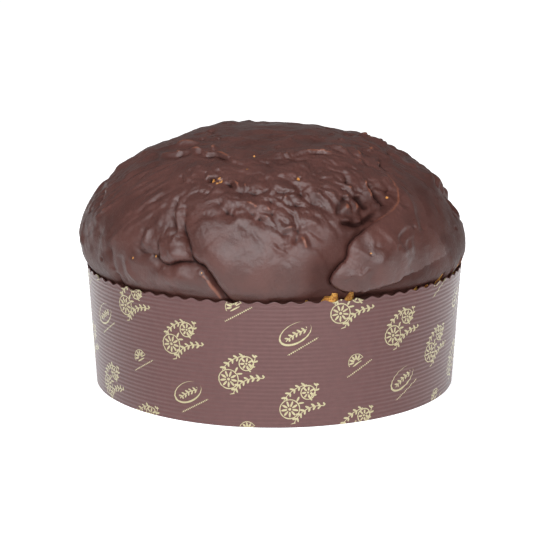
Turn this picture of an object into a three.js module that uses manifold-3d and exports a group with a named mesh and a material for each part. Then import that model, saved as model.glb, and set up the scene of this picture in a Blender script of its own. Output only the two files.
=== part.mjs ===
// A low, chocolate-coated panettone in its paper baking case.
// Millimetres, +Z up. The origin is the centre of the case's underside, and the front faces -Y.
// "Turn" is the angle round the cake from the front towards +X, and "tilt" is the angle from straight
// up, seen from a point inside the dome. Both are in degrees.
import * as THREE from "three";
import { mergeVertices } from "three/addons/utils/BufferGeometryUtils.js";
import Module from "manifold-3d";

const wasm = await Module();
wasm.setup();

// Driving dimensions.
const CASE_HEIGHT = 70;
const CASE_RADIUS_FOOT = 106;
const CASE_RADIUS_RIM = 110;
const PAPER = 0.9;
const SCALLOPS = 76;
const SCALLOP_DEPTH = 1.5;
const TRAY_UPSTAND = 8;
const CAKE_HEIGHT = 149.8;
const DOME_RADIUS = 112.6;
const COATING = 2.5;
const GAP = 0.3;

// How finely each round piece is divided.
const WALL_STEPS = SCALLOPS * 4;
const TRAY_STEPS = 96;
const CAKE_STEPS = 80;
const DOME_TILTS = [0, 9, 18, 27, 36, 44, 52, 60, 67, 74, 81, 87, 91.6, 94.7];

const DOME_CENTRE = new THREE.Vector3(0, 0, 75);
const HEM_TILT = DOME_TILTS.at(-1);
const RISE = (CASE_RADIUS_RIM - CASE_RADIUS_FOOT) / CASE_HEIGHT;

const rad = THREE.MathUtils.degToRad;
const deg = THREE.MathUtils.radToDeg;
const smoothstep = THREE.MathUtils.smoothstep;

// The outside radius of the flaring paper wall at a height.
const wallRadius = (z) => CASE_RADIUS_FOOT + RISE * z;

// The shortest way round from one turn to another.
const turnBetween = (from, to) => ((to - from + 540) % 360) - 180;

// Broad swellings (height > 0) and hollows (height < 0) of the risen dome.
const SWELLINGS = [
  { turn: -12, tilt: 76, wide: 11, tall: 13, height: 1.6 },
  { turn: 38, tilt: 77, wide: 14, tall: 11, height: 1.6 },
  { turn: -88, tilt: 58, wide: 14, tall: 7, height: 2.2 },
  { turn: 78, tilt: 62, wide: 9, tall: 6, height: 2.6 },
  { turn: 85, tilt: 72, wide: 18, tall: 7, height: -4 },
  { turn: -22, tilt: 55, wide: 9, tall: 6, height: -2.2 },
  { turn: 32, tilt: 62, wide: 5, tall: 7, height: -3 },
  { turn: 42, tilt: 38, wide: 12, tall: 9, height: 2 },
  { turn: -60, tilt: 42, wide: 15, tall: 7, height: 1.6 },
  { turn: 130, tilt: 66, wide: 20, tall: 14, height: 2.4 },
  { turn: 160, tilt: 48, wide: 14, tall: 10, height: -2 },
  { turn: 185, tilt: 74, wide: 16, tall: 12, height: 2.2 },
  { turn: -140, tilt: 62, wide: 16, tall: 12, height: 2 },
  { turn: -118, tilt: 78, wide: 10, tall: 9, height: -1.8 },
];

// The big fold at the front right: the coating to its right stands proud of the coating to its left.
const FOLD = { top: { turn: 52, tilt: 57 }, foot: { turn: 15, tilt: 87 }, height: 3.2, step: 5, fade: 34 };

// Where the coating's lower edge lifts clear of the paper and bread shows below it.
const BARE_SPOTS = [
  { turn: 16, wide: 4.5, lift: 3.4 },
  { turn: 23, wide: 4, lift: 2.8 },
  { turn: 60, wide: 3.5, lift: 3 },
  { turn: 69, wide: 3.5, lift: 3.4 },
  { turn: 143, wide: 5, lift: 3 },
  { turn: -97, wide: 4, lift: 2.8 },
];

// The coated dome's section, from the crown down to the hem that is tucked inside the rim.
const section = new THREE.SplineCurve([
  new THREE.Vector2(-20, CAKE_HEIGHT - 0.8),
  new THREE.Vector2(0, CAKE_HEIGHT),
  new THREE.Vector2(20, CAKE_HEIGHT - 0.8),
  new THREE.Vector2(42, CAKE_HEIGHT - 4.2),
  new THREE.Vector2(65, CAKE_HEIGHT - 11),
  new THREE.Vector2(85, CAKE_HEIGHT - 20.3),
  new THREE.Vector2(99.5, CAKE_HEIGHT - 32.3),
  new THREE.Vector2(108.2, CAKE_HEIGHT - 44.8),
  new THREE.Vector2(DOME_RADIUS - 0.6, CASE_HEIGHT + 23),
  new THREE.Vector2(DOME_RADIUS, CASE_HEIGHT + 14),
  new THREE.Vector2(DOME_RADIUS - 1.6, CASE_HEIGHT + 7),
  new THREE.Vector2(108.3, CASE_HEIGHT + 1.4),
  new THREE.Vector2(108, CASE_HEIGHT - 4),
  new THREE.Vector2(107.6, CASE_HEIGHT - 9),
]);

// The section as reach against tilt, so that any direction can be looked up.
const reachTable = section.getPoints(260).map((p) => ({
  tilt: deg(Math.atan2(p.x, p.y - DOME_CENTRE.z)),
  reach: Math.hypot(p.x, p.y - DOME_CENTRE.z),
}));

function smoothReach(tilt) {
  const after = reachTable.findIndex((row) => row.tilt > tilt);
  const [a, b] = [reachTable[after - 1], reachTable[after]];
  return THREE.MathUtils.mapLinear(tilt, a.tilt, b.tilt, a.reach, b.reach);
}

function swelling(turn, tilt) {
  return SWELLINGS.reduce((sum, s) => {
    const across = turnBetween(s.turn, turn) / s.wide;
    const up = (tilt - s.tilt) / s.tall;
    return sum + s.height * Math.exp(-(across * across + up * up));
  }, 0);
}

function foldStep(turn, tilt) {
  const along = THREE.MathUtils.clamp((tilt - FOLD.top.tilt) / (FOLD.foot.tilt - FOLD.top.tilt), 0, 1);
  const edge = THREE.MathUtils.lerp(FOLD.top.turn, FOLD.foot.turn, along);
  const right = turnBetween(edge, turn);
  const ends = smoothstep(tilt, FOLD.top.tilt - 10, FOLD.top.tilt + 6);
  return FOLD.height * ends * smoothstep(right, -FOLD.step, FOLD.step) * (1 - smoothstep(right, 4, FOLD.fade));
}

// Relief dies away at the crown, where all turns meet, and at the hem inside the rim.
function relief(turn, tilt) {
  const fade = smoothstep(tilt, 6, 22) * (1 - smoothstep(tilt, 84, 91));
  return fade * (swelling(turn, tilt) + foldStep(turn, tilt));
}

// A point of the coated dome, moved inwards by a depth.
function domePoint(turn, tilt, depth) {
  const reach = smoothReach(tilt) + relief(turn, tilt) - depth;
  const out = reach * Math.sin(rad(tilt));
  const up = reach * Math.cos(rad(tilt));
  return new THREE.Vector3(out * Math.sin(rad(turn)), -out * Math.cos(rad(turn)), up).add(DOME_CENTRE);
}

function hemTilt(turn) {
  const lift = BARE_SPOTS.reduce((most, spot) => {
    const away = turnBetween(spot.turn, turn) / spot.wide;
    return Math.max(most, spot.lift * Math.exp(-away * away));
  }, 0);
  return HEM_TILT - lift;
}

// A lathe of a profile given as [radius, height] pairs, standing on +Z.
function turned(profile, steps) {
  const outline = profile.map(([r, z]) => new THREE.Vector2(r, z));
  const geometry = new THREE.LatheGeometry(outline, steps);
  geometry.rotateX(Math.PI / 2);
  return geometry;
}

// Moves each vertex of a turned body; place(point, turn) returns the new point, or nothing to leave it.
function shaped(geometry, place) {
  const position = geometry.getAttribute("position");
  const point = new THREE.Vector3();
  for (let i = 0; i < position.count; i++) {
    point.fromBufferAttribute(position, i);
    const turn = deg(Math.atan2(point.x, -point.y));
    const moved = place(point, turn);
    if (moved) position.setXYZ(i, moved.x, moved.y, moved.z);
  }
  geometry.computeVertexNormals();
  return geometry;
}

// The corrugated paper wall: a flaring band with a scalloped top edge.
function caseWall() {
  const band = turned(
    [
      [wallRadius(0) - PAPER, 0],
      [wallRadius(0), 0],
      [wallRadius(CASE_HEIGHT), CASE_HEIGHT],
      [wallRadius(CASE_HEIGHT) - PAPER, CASE_HEIGHT],
      [wallRadius(0) - PAPER, 0],
    ],
    WALL_STEPS,
  );
  return shaped(band, (point, turn) => {
    if (point.z < CASE_HEIGHT / 2) return null;
    const wave = (SCALLOP_DEPTH / 2) * Math.cos(rad(turn * SCALLOPS));
    return point.clone().setZ(CASE_HEIGHT + wave);
  });
}

// The tray inside the foot of the wall: a disc with a turned-up flange that is glued to the wall.
function caseTray() {
  const outside = wallRadius(0) - PAPER - GAP;
  const top = outside + RISE * TRAY_UPSTAND;
  return turned(
    [
      [0, 0],
      [outside, 0],
      [top, TRAY_UPSTAND],
      [top - PAPER / 2, TRAY_UPSTAND],
      [outside - PAPER / 2, PAPER],
      [0, PAPER],
    ],
    TRAY_STEPS,
  );
}

// A lathe row on a plain sphere round the dome's centre, before it is shaped.
function domeRow(tilt) {
  return [DOME_RADIUS * Math.sin(rad(tilt)), DOME_CENTRE.z + DOME_RADIUS * Math.cos(rad(tilt))];
}

// A solid whose lower profile is given and whose upper part is the coated dome, one depth below it.
// The dome's rows are drawn up towards the hem where the hem is lifted.
function domed(lower, depth) {
  const profile = [...lower, ...DOME_TILTS.map(domeRow).reverse()];
  const seam = domeRow(HEM_TILT)[1] - GAP;
  return shaped(turned(profile, CAKE_STEPS), (point, turn) => {
    if (point.z < seam) return null;
    const fromCentre = point.clone().sub(DOME_CENTRE);
    const tilt = deg(Math.acos(THREE.MathUtils.clamp(fromCentre.z / fromCentre.length(), -1, 1)));
    const drawn = THREE.MathUtils.lerp(1, hemTilt(turn) / HEM_TILT, smoothstep(tilt, 70, HEM_TILT));
    return domePoint(turn, tilt * drawn, depth);
  });
}

function toSolid(geometry) {
  const bare = new THREE.BufferGeometry();
  bare.setAttribute("position", geometry.getAttribute("position"));
  bare.setIndex(geometry.index);
  const merged = mergeVertices(bare, 1e-3);
  const vertProperties = merged.getAttribute("position").array;
  return new wasm.Manifold(
    new wasm.Mesh({ numProp: 3, vertProperties, triVerts: new Uint32Array(merged.index.array) }),
  );
}

function toGeometry(solid) {
  const mesh = solid.getMesh();
  const geometry = new THREE.BufferGeometry();
  geometry.setAttribute("position", new THREE.BufferAttribute(mesh.vertProperties, 3));
  geometry.setIndex(new THREE.BufferAttribute(mesh.triVerts, 1));
  geometry.computeVertexNormals();
  return geometry;
}

// The chocolate: an open shell over the dome, with its hem tucked inside the paper rim.
function coating() {
  const outside = domed([[0, CASE_HEIGHT - 6]], 0);
  const inside = domed([[0, CASE_HEIGHT / 2], [CASE_RADIUS_FOOT - 6, CASE_HEIGHT / 2]], COATING);
  return toGeometry(toSolid(outside).subtract(toSolid(inside)));
}

// The bread: the same dome one coating lower, on a body that fills the case.
function bread() {
  const side = (z) => wallRadius(z) - PAPER - GAP;
  const inTray = (z) => side(z) - PAPER / 2 - GAP;
  const footZ = PAPER + GAP;
  const body = [
    [0, footZ],
    [inTray(0) - 3, footZ],
    [inTray(0), footZ + 2],
    [inTray(TRAY_UPSTAND), TRAY_UPSTAND + GAP],
    [side(TRAY_UPSTAND), TRAY_UPSTAND + 2],
    [side(36), 36],
    [side(58), 58],
  ];
  return domed(body, COATING + GAP);
}

function finish(color, roughness) {
  return new THREE.MeshStandardMaterial({ color, roughness, metalness: 0 });
}

const kraft = finish(0x7a5a56, 0.6);
const chocolate = finish(0x5c423e, 0.38);
const crumb = finish(0xc08a3a, 0.9);

const parts = [
  ["paper_case_wall", caseWall(), kraft],
  ["paper_case_tray", caseTray(), kraft.clone()],
  ["panettone_bread", bread(), crumb],
  ["chocolate_coating", coating(), chocolate],
];

const panettone = new THREE.Group();
parts.forEach(([name, geometry, material]) => {
  const mesh = new THREE.Mesh(geometry, material);
  mesh.name = name;
  panettone.add(mesh);
});

export default panettone;
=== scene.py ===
# %% [markdown]
# # A chocolate-coated panettone in its paper case
#
# The cake is a low, round sweet bread. It was baked in a paper case, and melted chocolate was poured over
# its dome afterwards. The measured model gives the sizes; this lesson gives every surface its look.
# We start by loading that model as a fixed frame.

import math

import bmesh
import bpy
import numpy as np
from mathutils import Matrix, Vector, kdtree, noise


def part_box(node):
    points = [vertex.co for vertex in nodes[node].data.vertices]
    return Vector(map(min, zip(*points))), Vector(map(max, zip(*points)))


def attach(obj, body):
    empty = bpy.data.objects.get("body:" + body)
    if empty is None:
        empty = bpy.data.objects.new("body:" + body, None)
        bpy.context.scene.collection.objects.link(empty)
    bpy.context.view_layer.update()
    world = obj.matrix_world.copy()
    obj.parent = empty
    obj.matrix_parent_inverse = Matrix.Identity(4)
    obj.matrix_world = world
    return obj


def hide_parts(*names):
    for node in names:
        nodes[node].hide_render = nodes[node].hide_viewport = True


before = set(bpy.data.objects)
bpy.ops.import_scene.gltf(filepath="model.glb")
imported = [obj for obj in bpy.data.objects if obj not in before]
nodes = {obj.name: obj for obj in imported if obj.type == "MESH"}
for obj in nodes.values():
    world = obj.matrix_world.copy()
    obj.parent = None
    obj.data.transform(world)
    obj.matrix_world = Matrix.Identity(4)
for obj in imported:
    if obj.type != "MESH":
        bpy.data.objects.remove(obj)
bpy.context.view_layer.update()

# %% [markdown]
# ## Sizes
#
# All sculpting below is thought out in millimetres, as a baker would measure. Each size comes from the
# frame where it can: the case's foot and rim from the paper wall, the dome from the coating.
# "Turn" is the angle round the cake from the front towards the right, and "tilt" is the angle from
# straight up, seen from a point inside the dome. Both are in degrees.

# %% Sizes from the frame
MM = 0.001


def high_corner(name):
    """The upper corner of a node's box, in millimetres."""
    _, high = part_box(name)
    return high / MM


wall_high = high_corner("paper_case_wall")
tray_high = high_corner("paper_case_tray")

SCALLOPS = 76
SCALLOP_DEPTH = 1.5
CASE_HEIGHT = wall_high.z - SCALLOP_DEPTH / 2
CASE_RADIUS_RIM = wall_high.x
PAPER = 0.9
GLUE_GAP = 0.3
TRAY_UPSTAND = 8
FLARE = CASE_RADIUS_RIM - 106  # the rim's radius less the foot's
CASE_RADIUS_FOOT = tray_high.x - TRAY_UPSTAND * FLARE / CASE_HEIGHT + PAPER + GLUE_GAP
CAKE_HEIGHT = high_corner("chocolate_coating").z
DOME_RADIUS = 112.6
DOME_MIDDLE = np.array([-1.3, 0.0, 75.0])
WIDEST_Z = 84.0
print(f"case {CASE_HEIGHT:.1f} mm high, {CASE_RADIUS_FOOT:.1f} to {CASE_RADIUS_RIM:.1f} mm in radius")

# %% [markdown]
# ## Camera, floor and light
#
# A product photographer would stand a metre away with a long lens, a little above the cake. The floor is
# plain and pale. One wide soft box above the camera draws the broad sheen on the chocolate. Three small
# ones, at the left, at the right and overhead, shape its folds. The pale floor and the dim white studio
# fill the shadows and turn the varnished paper pale towards its sides.

# %% Camera
CAMERA_AWAY = 0.969
CAMERA_HEIGHT = 0.282
CAMERA_PITCH = 12.89
CAMERA_LENS = 109.9

camera_data = bpy.data.cameras.new("camera")
camera_data.lens = CAMERA_LENS
camera_data.sensor_width = 36
camera_data.clip_end = 120
camera = bpy.data.objects.new("camera", camera_data)
camera.location = (0.0004, -CAMERA_AWAY, CAMERA_HEIGHT)
camera.rotation_euler = (math.radians(90 - CAMERA_PITCH), 0, 0)
bpy.context.scene.collection.objects.link(camera)
bpy.context.scene.camera = camera
bpy.context.scene.view_settings.view_transform = "Standard"


# %% Lamps and floor
LAMP_COLOUR = (0.94, 0.97, 1.0)
FLOOR_RADIUS = 50


def soft_box(name, place, aim, wide, tall, power):
    data = bpy.data.lights.new(name, "AREA")
    data.shape = "RECTANGLE"
    data.size = wide
    data.size_y = tall
    data.energy = power
    data.color = LAMP_COLOUR
    lamp = bpy.data.objects.new(name, data)
    lamp.location = place
    lamp.rotation_euler = (Vector(aim) - Vector(place)).to_track_quat("-Z", "Y").to_euler()
    bpy.context.scene.collection.objects.link(lamp)


CAKE_MIDDLE = (0, 0, 0.09)
soft_box("front_box", (0.0, -1.18, 0.86), CAKE_MIDDLE, 1.5, 1.25, 29.0)
soft_box("left_box", (-1.05, -0.90, 0.84), CAKE_MIDDLE, 0.6, 0.7, 3.7)
soft_box("right_box", (0.86, -1.05, 0.60), CAKE_MIDDLE, 0.5, 0.7, 4.2)
soft_box("key_box", (-0.35, -0.5, 1.2), CAKE_MIDDLE, 0.4, 0.4, 3.6)

world = bpy.data.worlds.new("studio")
world.use_nodes = True
bpy.context.scene.world = world


def new_object(name, mesh):
    piece = bpy.data.objects.new(name, mesh)
    bpy.context.scene.collection.objects.link(piece)
    return piece


def mesh_from(bm, name, smooth=True):
    mesh = bpy.data.meshes.new(name)
    bm.to_mesh(mesh)
    bm.free()
    mesh.polygons.foreach_set("use_smooth", [smooth] * len(mesh.polygons))
    return mesh


floor_bm = bmesh.new()
bmesh.ops.create_circle(floor_bm, cap_ends=True, segments=96, radius=FLOOR_RADIUS)
floor = new_object("floor", mesh_from(floor_bm, "floor", smooth=False))

# %% [markdown]
# ## Shader building blocks
#
# Materials are small graphs of nodes. These helpers add one node at a time and wire its inputs, so that a
# graph reads like a formula. Effects that several finishes share are built once as node groups.


# %% Shader helpers
def wire(tree, value, socket):
    if isinstance(value, bpy.types.NodeSocket):
        tree.links.new(value, socket)
    else:
        socket.default_value = value


def node(tree, kind, settings=None, **inputs):
    made = tree.nodes.new(kind)
    for key, value in (settings or {}).items():
        setattr(made, key, value)
    for key, value in inputs.items():
        wire(tree, value, made.inputs[key.replace("_", " ")])
    return made


def maths(tree, operation, *values, clamp=False):
    made = tree.nodes.new("ShaderNodeMath")
    made.operation = operation
    made.use_clamp = clamp
    for value, socket in zip(values, made.inputs):
        wire(tree, value, socket)
    return made.outputs[0]


def ramp(tree, value, low, high, out_low=0.0, out_high=1.0):
    made = node(tree, "ShaderNodeMapRange", {"interpolation_type": "SMOOTHSTEP"}, Value=value)
    for key, number in (("From Min", low), ("From Max", high), ("To Min", out_low), ("To Max", out_high)):
        made.inputs[key].default_value = number
    return made.outputs[0]


def mix(tree, factor, first, second):
    made = tree.nodes.new("ShaderNodeMix")
    made.data_type = "RGBA"
    for value, socket in zip((factor, first, second), (made.inputs[0], made.inputs[6], made.inputs[7])):
        wire(tree, value, socket)
    return made.outputs[2]


def attribute(tree, name):
    return node(tree, "ShaderNodeAttribute", {"attribute_name": name}).outputs["Fac"]


def cloudy(tree, place, scale, detail, distortion=0.0):
    made = node(tree, "ShaderNodeTexNoise", Vector=place, Scale=scale, Detail=detail, Distortion=distortion)
    return made.outputs["Fac"]


def length_of(tree, vector):
    return node(tree, "ShaderNodeVectorMath", {"operation": "LENGTH"}, Vector=vector).outputs["Value"]


def bumped(tree, height, strength, distance, **under):
    made = node(tree, "ShaderNodeBump", Strength=strength, Distance=distance, Height=height, **under)
    return made.outputs["Normal"]


def new_group(name, inputs, outputs):
    group = bpy.data.node_groups.new(name, "ShaderNodeTree")
    for label, kind, start in inputs:
        socket = group.interface.new_socket(label, in_out="INPUT", socket_type=kind)
        if start is not None:
            socket.default_value = start
    for label, kind in outputs:
        group.interface.new_socket(label, in_out="OUTPUT", socket_type=kind)
    entry = group.nodes.new("NodeGroupInput")
    leave = group.nodes.new("NodeGroupOutput")
    return group, entry.outputs, leave.inputs


def use_group(tree, group, **inputs):
    made = tree.nodes.new("ShaderNodeGroup")
    made.node_tree = group
    for key, value in inputs.items():
        wire(tree, value, made.inputs[key.replace("_", " ")])
    return made.outputs


def new_material(name, **uniform):
    material = bpy.data.materials.new(name)
    material.use_nodes = True
    tree = material.node_tree
    shader = tree.nodes["Principled BSDF"]
    for key, value in uniform.items():
        shader.inputs[key.replace("_", " ")].default_value = value
    place = tree.nodes.new("ShaderNodeTexCoord").outputs["Object"]
    return material, tree, shader, place


FLOAT, COLOUR, VECTOR = "NodeSocketFloat", "NodeSocketColor", "NodeSocketVector"

# %% [markdown]
# One effect is shared by every finish. "Mottle" gives two masks, soft blotches and a fine grain, which
# break up a colour as on anything that was baked, poured or pulped.


# %% Shared mottle
def build_mottle():
    group, given, result = new_group(
        "mottle",
        [("Place", VECTOR, None), ("Blotch", FLOAT, 60.0), ("Grain", FLOAT, 900.0)],
        [("Blotches", FLOAT), ("Grain", FLOAT)],
    )
    soft = cloudy(group, given["Place"], given["Blotch"], 3.0)
    fine = cloudy(group, given["Place"], given["Grain"], 4.0)
    wire(group, ramp(group, soft, 0.3, 0.7), result["Blotches"])
    wire(group, ramp(group, fine, 0.3, 0.7), result["Grain"])
    return group


mottle = build_mottle()

# %% [markdown]
# A photographer lights the backdrop apart from the subject. This floor glows a little by itself, more
# behind the cake and far away than beside it. Under the camera it is grey, so that it throws less light up
# at the paper. The studio's walls are a little brighter than its ceiling.

# %% Floor and studio
FLOOR_PALE = (0.93, 0.93, 0.93, 1)
FLOOR_PALER = (0.95, 0.95, 0.95, 1)
FLOOR_GREY = (0.42, 0.42, 0.43, 1)
GLOW_NEAR, GLOW_FAR = 0.36, 0.84
FAR_FROM, FAR_TO = 1.2, 2.4

floor_material, tree, shader, place = new_material("studio_floor", Roughness=0.9)
shader.inputs["Emission Color"].default_value = (1, 1, 1, 1)
backwards = node(tree, "ShaderNodeSeparateXYZ", Vector=place).outputs["Y"]
far_off = length_of(tree, place)
glow_behind = ramp(tree, backwards, -0.15, 0.25, GLOW_NEAR, GLOW_FAR)
glow_around = ramp(tree, far_off, FAR_FROM, FAR_TO, GLOW_NEAR, GLOW_FAR)
wire(tree, maths(tree, "MAXIMUM", glow_behind, glow_around), shader.inputs["Emission Strength"])
patches = use_group(tree, mottle, Place=place, Blotch=4.0, Grain=60.0)
pale = mix(tree, patches["Blotches"], FLOOR_PALE, FLOOR_PALER)
in_front = ramp(tree, backwards, -0.60, -0.33, 1.0, 0.0)
near_camera = maths(tree, "MULTIPLY", in_front, ramp(tree, far_off, FAR_FROM, FAR_TO, 1.0, 0.0))
wire(tree, mix(tree, near_camera, pale, FLOOR_GREY), shader.inputs["Base Color"])
floor.data.materials.append(floor_material)

tree = world.node_tree
direction = tree.nodes.new("ShaderNodeTexCoord").outputs["Generated"]
upward = node(tree, "ShaderNodeSeparateXYZ", Vector=direction).outputs["Z"]
wire(tree, ramp(tree, upward, 0.0, 0.6, 0.22, 0.20), tree.nodes["Background"].inputs["Strength"])
tree.nodes["Background"].inputs["Color"].default_value = (1, 1, 1, 1)
print("floor", floor_material.name, "and studio", world.name)

# %% [markdown]
# ## The shape of the dome
#
# The coated dome is a squashed ball: above its widest ring it follows an ellipse, and below that ring it
# turns in, to go down inside the paper rim. A lathe profile would give it in one step, but every fold below
# needs to know where the dome is in any direction. So we look its reach up by tilt.


# %% Dome profile
PROFILE_FOOT = 58
TUCK_IN, TUCK_DROP = 3.8, 13
NECK_RADIUS = 107.9


def dome_profile():
    up = np.linspace(0, math.pi / 2, 400)
    r = DOME_RADIUS * np.sin(up)
    z = WIDEST_Z + (CAKE_HEIGHT - WIDEST_Z) * np.cos(up)
    low_z = np.linspace(WIDEST_Z, PROFILE_FOOT, 120)[1:]
    low_r = DOME_RADIUS - TUCK_IN * ((WIDEST_Z - low_z) / TUCK_DROP) ** 2.7
    low_r = np.maximum(low_r, NECK_RADIUS)
    return np.concatenate([r, low_r]), np.concatenate([z, low_z])


profile_r, profile_z = dome_profile()
profile_tilt = np.degrees(np.arctan2(profile_r, profile_z - DOME_MIDDLE[2]))
profile_reach = np.hypot(profile_r, profile_z - DOME_MIDDLE[2])


def heading(turn, tilt):
    turn, tilt = np.radians(turn), np.radians(tilt)
    return np.stack([np.sin(tilt) * np.sin(turn), -np.sin(tilt) * np.cos(turn), np.cos(tilt)], -1)


def on_dome(turn, tilt, depth=0.0):
    reach = np.interp(tilt, profile_tilt, profile_reach) - depth
    return heading(turn, tilt) * reach[..., None] + dome_shift(tilt)


def dome_shift(tilt):
    """The dome leans a little to the left, but meets the case on its axis."""
    lean = 1 - smooth(np.asarray(tilt, float), 78, 92)
    middle = np.broadcast_to(DOME_MIDDLE, lean.shape + (3,)).copy()
    middle[..., 0] *= lean
    return middle


def smooth(value, low, high):
    t = np.clip((value - low) / (high - low), 0, 1)
    return t * t * (3 - 2 * t)


print(f"the dome is {2 * profile_r.max():.1f} mm across and reaches z {profile_z.max():.1f} mm")

# %% [markdown]
# ## Clay to sculpt
#
# A fine icosphere is the best clay here: its triangles are all nearly the same size and it has no pole to
# pinch. We cut it below the hem, then keep every vertex as a turn, a tilt and a height above the dome.
# The brushes that follow only add to that height, or slide a vertex sideways where a fold overhangs.

# %% Make the clay
CUT_TILT = 97.0
PULL_FORWARD, PULL_DOWN = 18, 6


def cut_ball(levels):
    """An icosphere with all below the cut taken away."""
    bm = bmesh.new()
    bmesh.ops.create_icosphere(bm, subdivisions=levels, radius=1)
    bmesh.ops.bisect_plane(
        bm,
        geom=bm.verts[:] + bm.edges[:] + bm.faces[:],
        plane_co=(0, 0, math.cos(math.radians(CUT_TILT))),
        plane_no=(0, 0, 1),
        clear_inner=True,
    )
    return bm


def directions(bm):
    """The turn and tilt of each vertex, drawn together towards the front, where the finest folds are."""
    ways = np.array([v.co for v in bm.verts])
    ways /= np.linalg.norm(ways, axis=1)[:, None]
    turns = np.degrees(np.arctan2(ways[:, 0], -ways[:, 1]))
    tilts = np.degrees(np.arccos(np.clip(ways[:, 2], -1, 1)))
    turns -= PULL_FORWARD * np.sin(np.radians(turns))
    return turns, tilts + PULL_DOWN * np.sin(np.pi * tilts / CUT_TILT)


coat_bm = cut_ball(8)
turn, tilt = directions(coat_bm)
print(len(turn), "clay points")

# %% [markdown]
# The hem is the coating's lower edge. It hides inside the paper rim almost everywhere. Where the chocolate
# ran short it stays above the rim, and the bread shows. Drawing the clay up to that line keeps its edge
# clean, so nothing needs to be cut again.

# %% Draw the hem
HEM_TILT = 94.4
DRAWN_FROM = 86
BARE_SPOTS = [  # turn, half width and lift, in degrees
    (9.4, 0.8, 2.0),
    (15.2, 1.7, 3.0),
    (17.4, 1.5, 4.3),
    (22.3, 1.6, 4.1),
    (47, 1.3, 2.5),
    (52.5, 1.4, 2.8),
    (58.6, 2.1, 4.6),
    (65, 1.6, 4.6),
    (72.3, 3.2, 6.4),
    (96, 3.5, 3.4),
    (131, 2.5, 3.0),
    (144, 4.5, 4.0),
    (-171, 2.0, 2.8),
    (-128, 3.0, 3.4),
    (-97, 3.6, 3.6),
]


def turn_between(start, end):
    return (end - start + 540) % 360 - 180


def drawn_to_hem(turns, tilts):
    """Tilts with the cut drawn to the hem, which wavers a little and rises at the bare spots."""
    lift = np.array([-0.35 * noise.noise(Vector((t * 0.35, 3.7, 0))) for t in turns])
    for spot_turn, spot_wide, spot_lift in BARE_SPOTS:
        away = turn_between(spot_turn, turns) / spot_wide
        lift = np.maximum(lift, spot_lift * np.exp(-away**4))
    tilts = tilts * HEM_TILT / CUT_TILT
    return tilts - lift * smooth(tilts, DRAWN_FROM, HEM_TILT)


tilt = drawn_to_hem(turn, tilt)
way = heading(turn, tilt)
ground = on_dome(turn, tilt)
STROKE_WAVER = 0.9
noise.seed_set(20)  # without a seed, noise vectors would differ from run to run
wavy_ground = ground + STROKE_WAVER * np.array([noise.noise_vector(Vector(p) / 7) for p in ground])
height = np.zeros(len(turn))
slide = np.zeros((len(turn), 3))

# %% [markdown]
# ## Brushes
#
# Each brush works along a stroke or round a spot that is given in turn and tilt, and has its sizes in
# millimetres. A stroke is a smooth curve through a few points. For every clay point near it we need the
# distance, which side it lies on and how far along it is: with those three, a groove, a ridge and a fold
# are one line of arithmetic each.


# %% Stroke geometry
def smooth_path(points, spacing=0.6):
    """A Catmull-Rom curve through (turn, tilt) points, laid on the dome."""
    p = np.array([points[0], *points, points[-1]], float)
    pieces = []
    for a, b, c, d in zip(p, p[1:], p[2:], p[3:]):
        t = np.linspace(0, 1, 24, endpoint=False)[:, None]
        bend = (2 * a - 5 * b + 4 * c - d) * t**2 + (3 * b - a - 3 * c + d) * t**3
        pieces.append(0.5 * (2 * b + (c - a) * t + bend))
    flat = np.concatenate(pieces + [p[-1:]])
    path = on_dome(flat[:, 0], flat[:, 1])
    length = np.concatenate([[0], np.cumsum(np.linalg.norm(np.diff(path, axis=0), axis=1))])
    steps = np.linspace(0, length[-1], max(4, int(length[-1] / spacing)))
    return np.stack([np.interp(steps, length, path[:, k]) for k in range(3)], -1), length[-1]


def near_stroke(points, reach):
    """The clay points within reach of a stroke: index, signed distance (right is positive), share along."""
    path, length = smooth_path(points)
    middle = path.mean(0)
    radius = np.linalg.norm(path - middle, axis=1).max() + reach
    near = np.flatnonzero(np.linalg.norm(ground - middle, axis=1) < radius)
    gap = wavy_ground[near][:, None, :] - path[None]
    square = (gap**2).sum(-1)
    k = square.argmin(1)
    along = np.gradient(path, axis=0)[k]
    along /= np.linalg.norm(along, axis=1)[:, None]
    nearest = np.arange(len(near)), k
    between = np.clip((gap[nearest] * along).sum(1), -0.3, 0.3) * (k > 0) * (k < len(path) - 1)
    away = np.sqrt(np.maximum(square[nearest] - between**2, 0))
    side = np.sign((np.cross(way[near], along) * gap[nearest]).sum(-1))
    keep = away < reach
    return near[keep], -(side * away)[keep], (k / (len(path) - 1))[keep], length


def tapered(share, start=0.15, end=0.15):
    return smooth(share, -0.02, start) * (1 - smooth(share, 1 - end, 1.02))


# %% Brushes
def uneven(points, share, length):
    """A slow, random gain along a stroke, since no real crease keeps one depth."""
    start = points[0][0] * 1.7 + points[0][1]
    samples = np.linspace(0, 1, 40)
    gains = [1 + 0.55 * noise.noise(Vector((s * length / 7, start, 0.5))) for s in samples]
    return np.interp(share, samples, gains)


def crease(points, depth, left, right, start=0.2, end=0.2):
    """A sharp valley between rounded lobes, which round off over a left and a right width."""
    near, away, share, length = near_stroke(points, 3.4 * max(left, right))
    width = np.where(away > 0, right, left)
    valley = np.exp((0.45 - np.hypot(away, 0.45)) / width)
    height[near] -= depth * tapered(share, start, end) * uneven(points, share, length) * valley


def ridge(points, rise, width, start=0.3, end=0.3):
    """A rounded welt."""
    near, away, share, length = near_stroke(points, 3 * width)
    welt = np.exp(-((np.abs(away) / width) ** 1.6))
    height[near] += rise * tapered(share, start, end) * uneven(points, share, length) * welt


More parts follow.
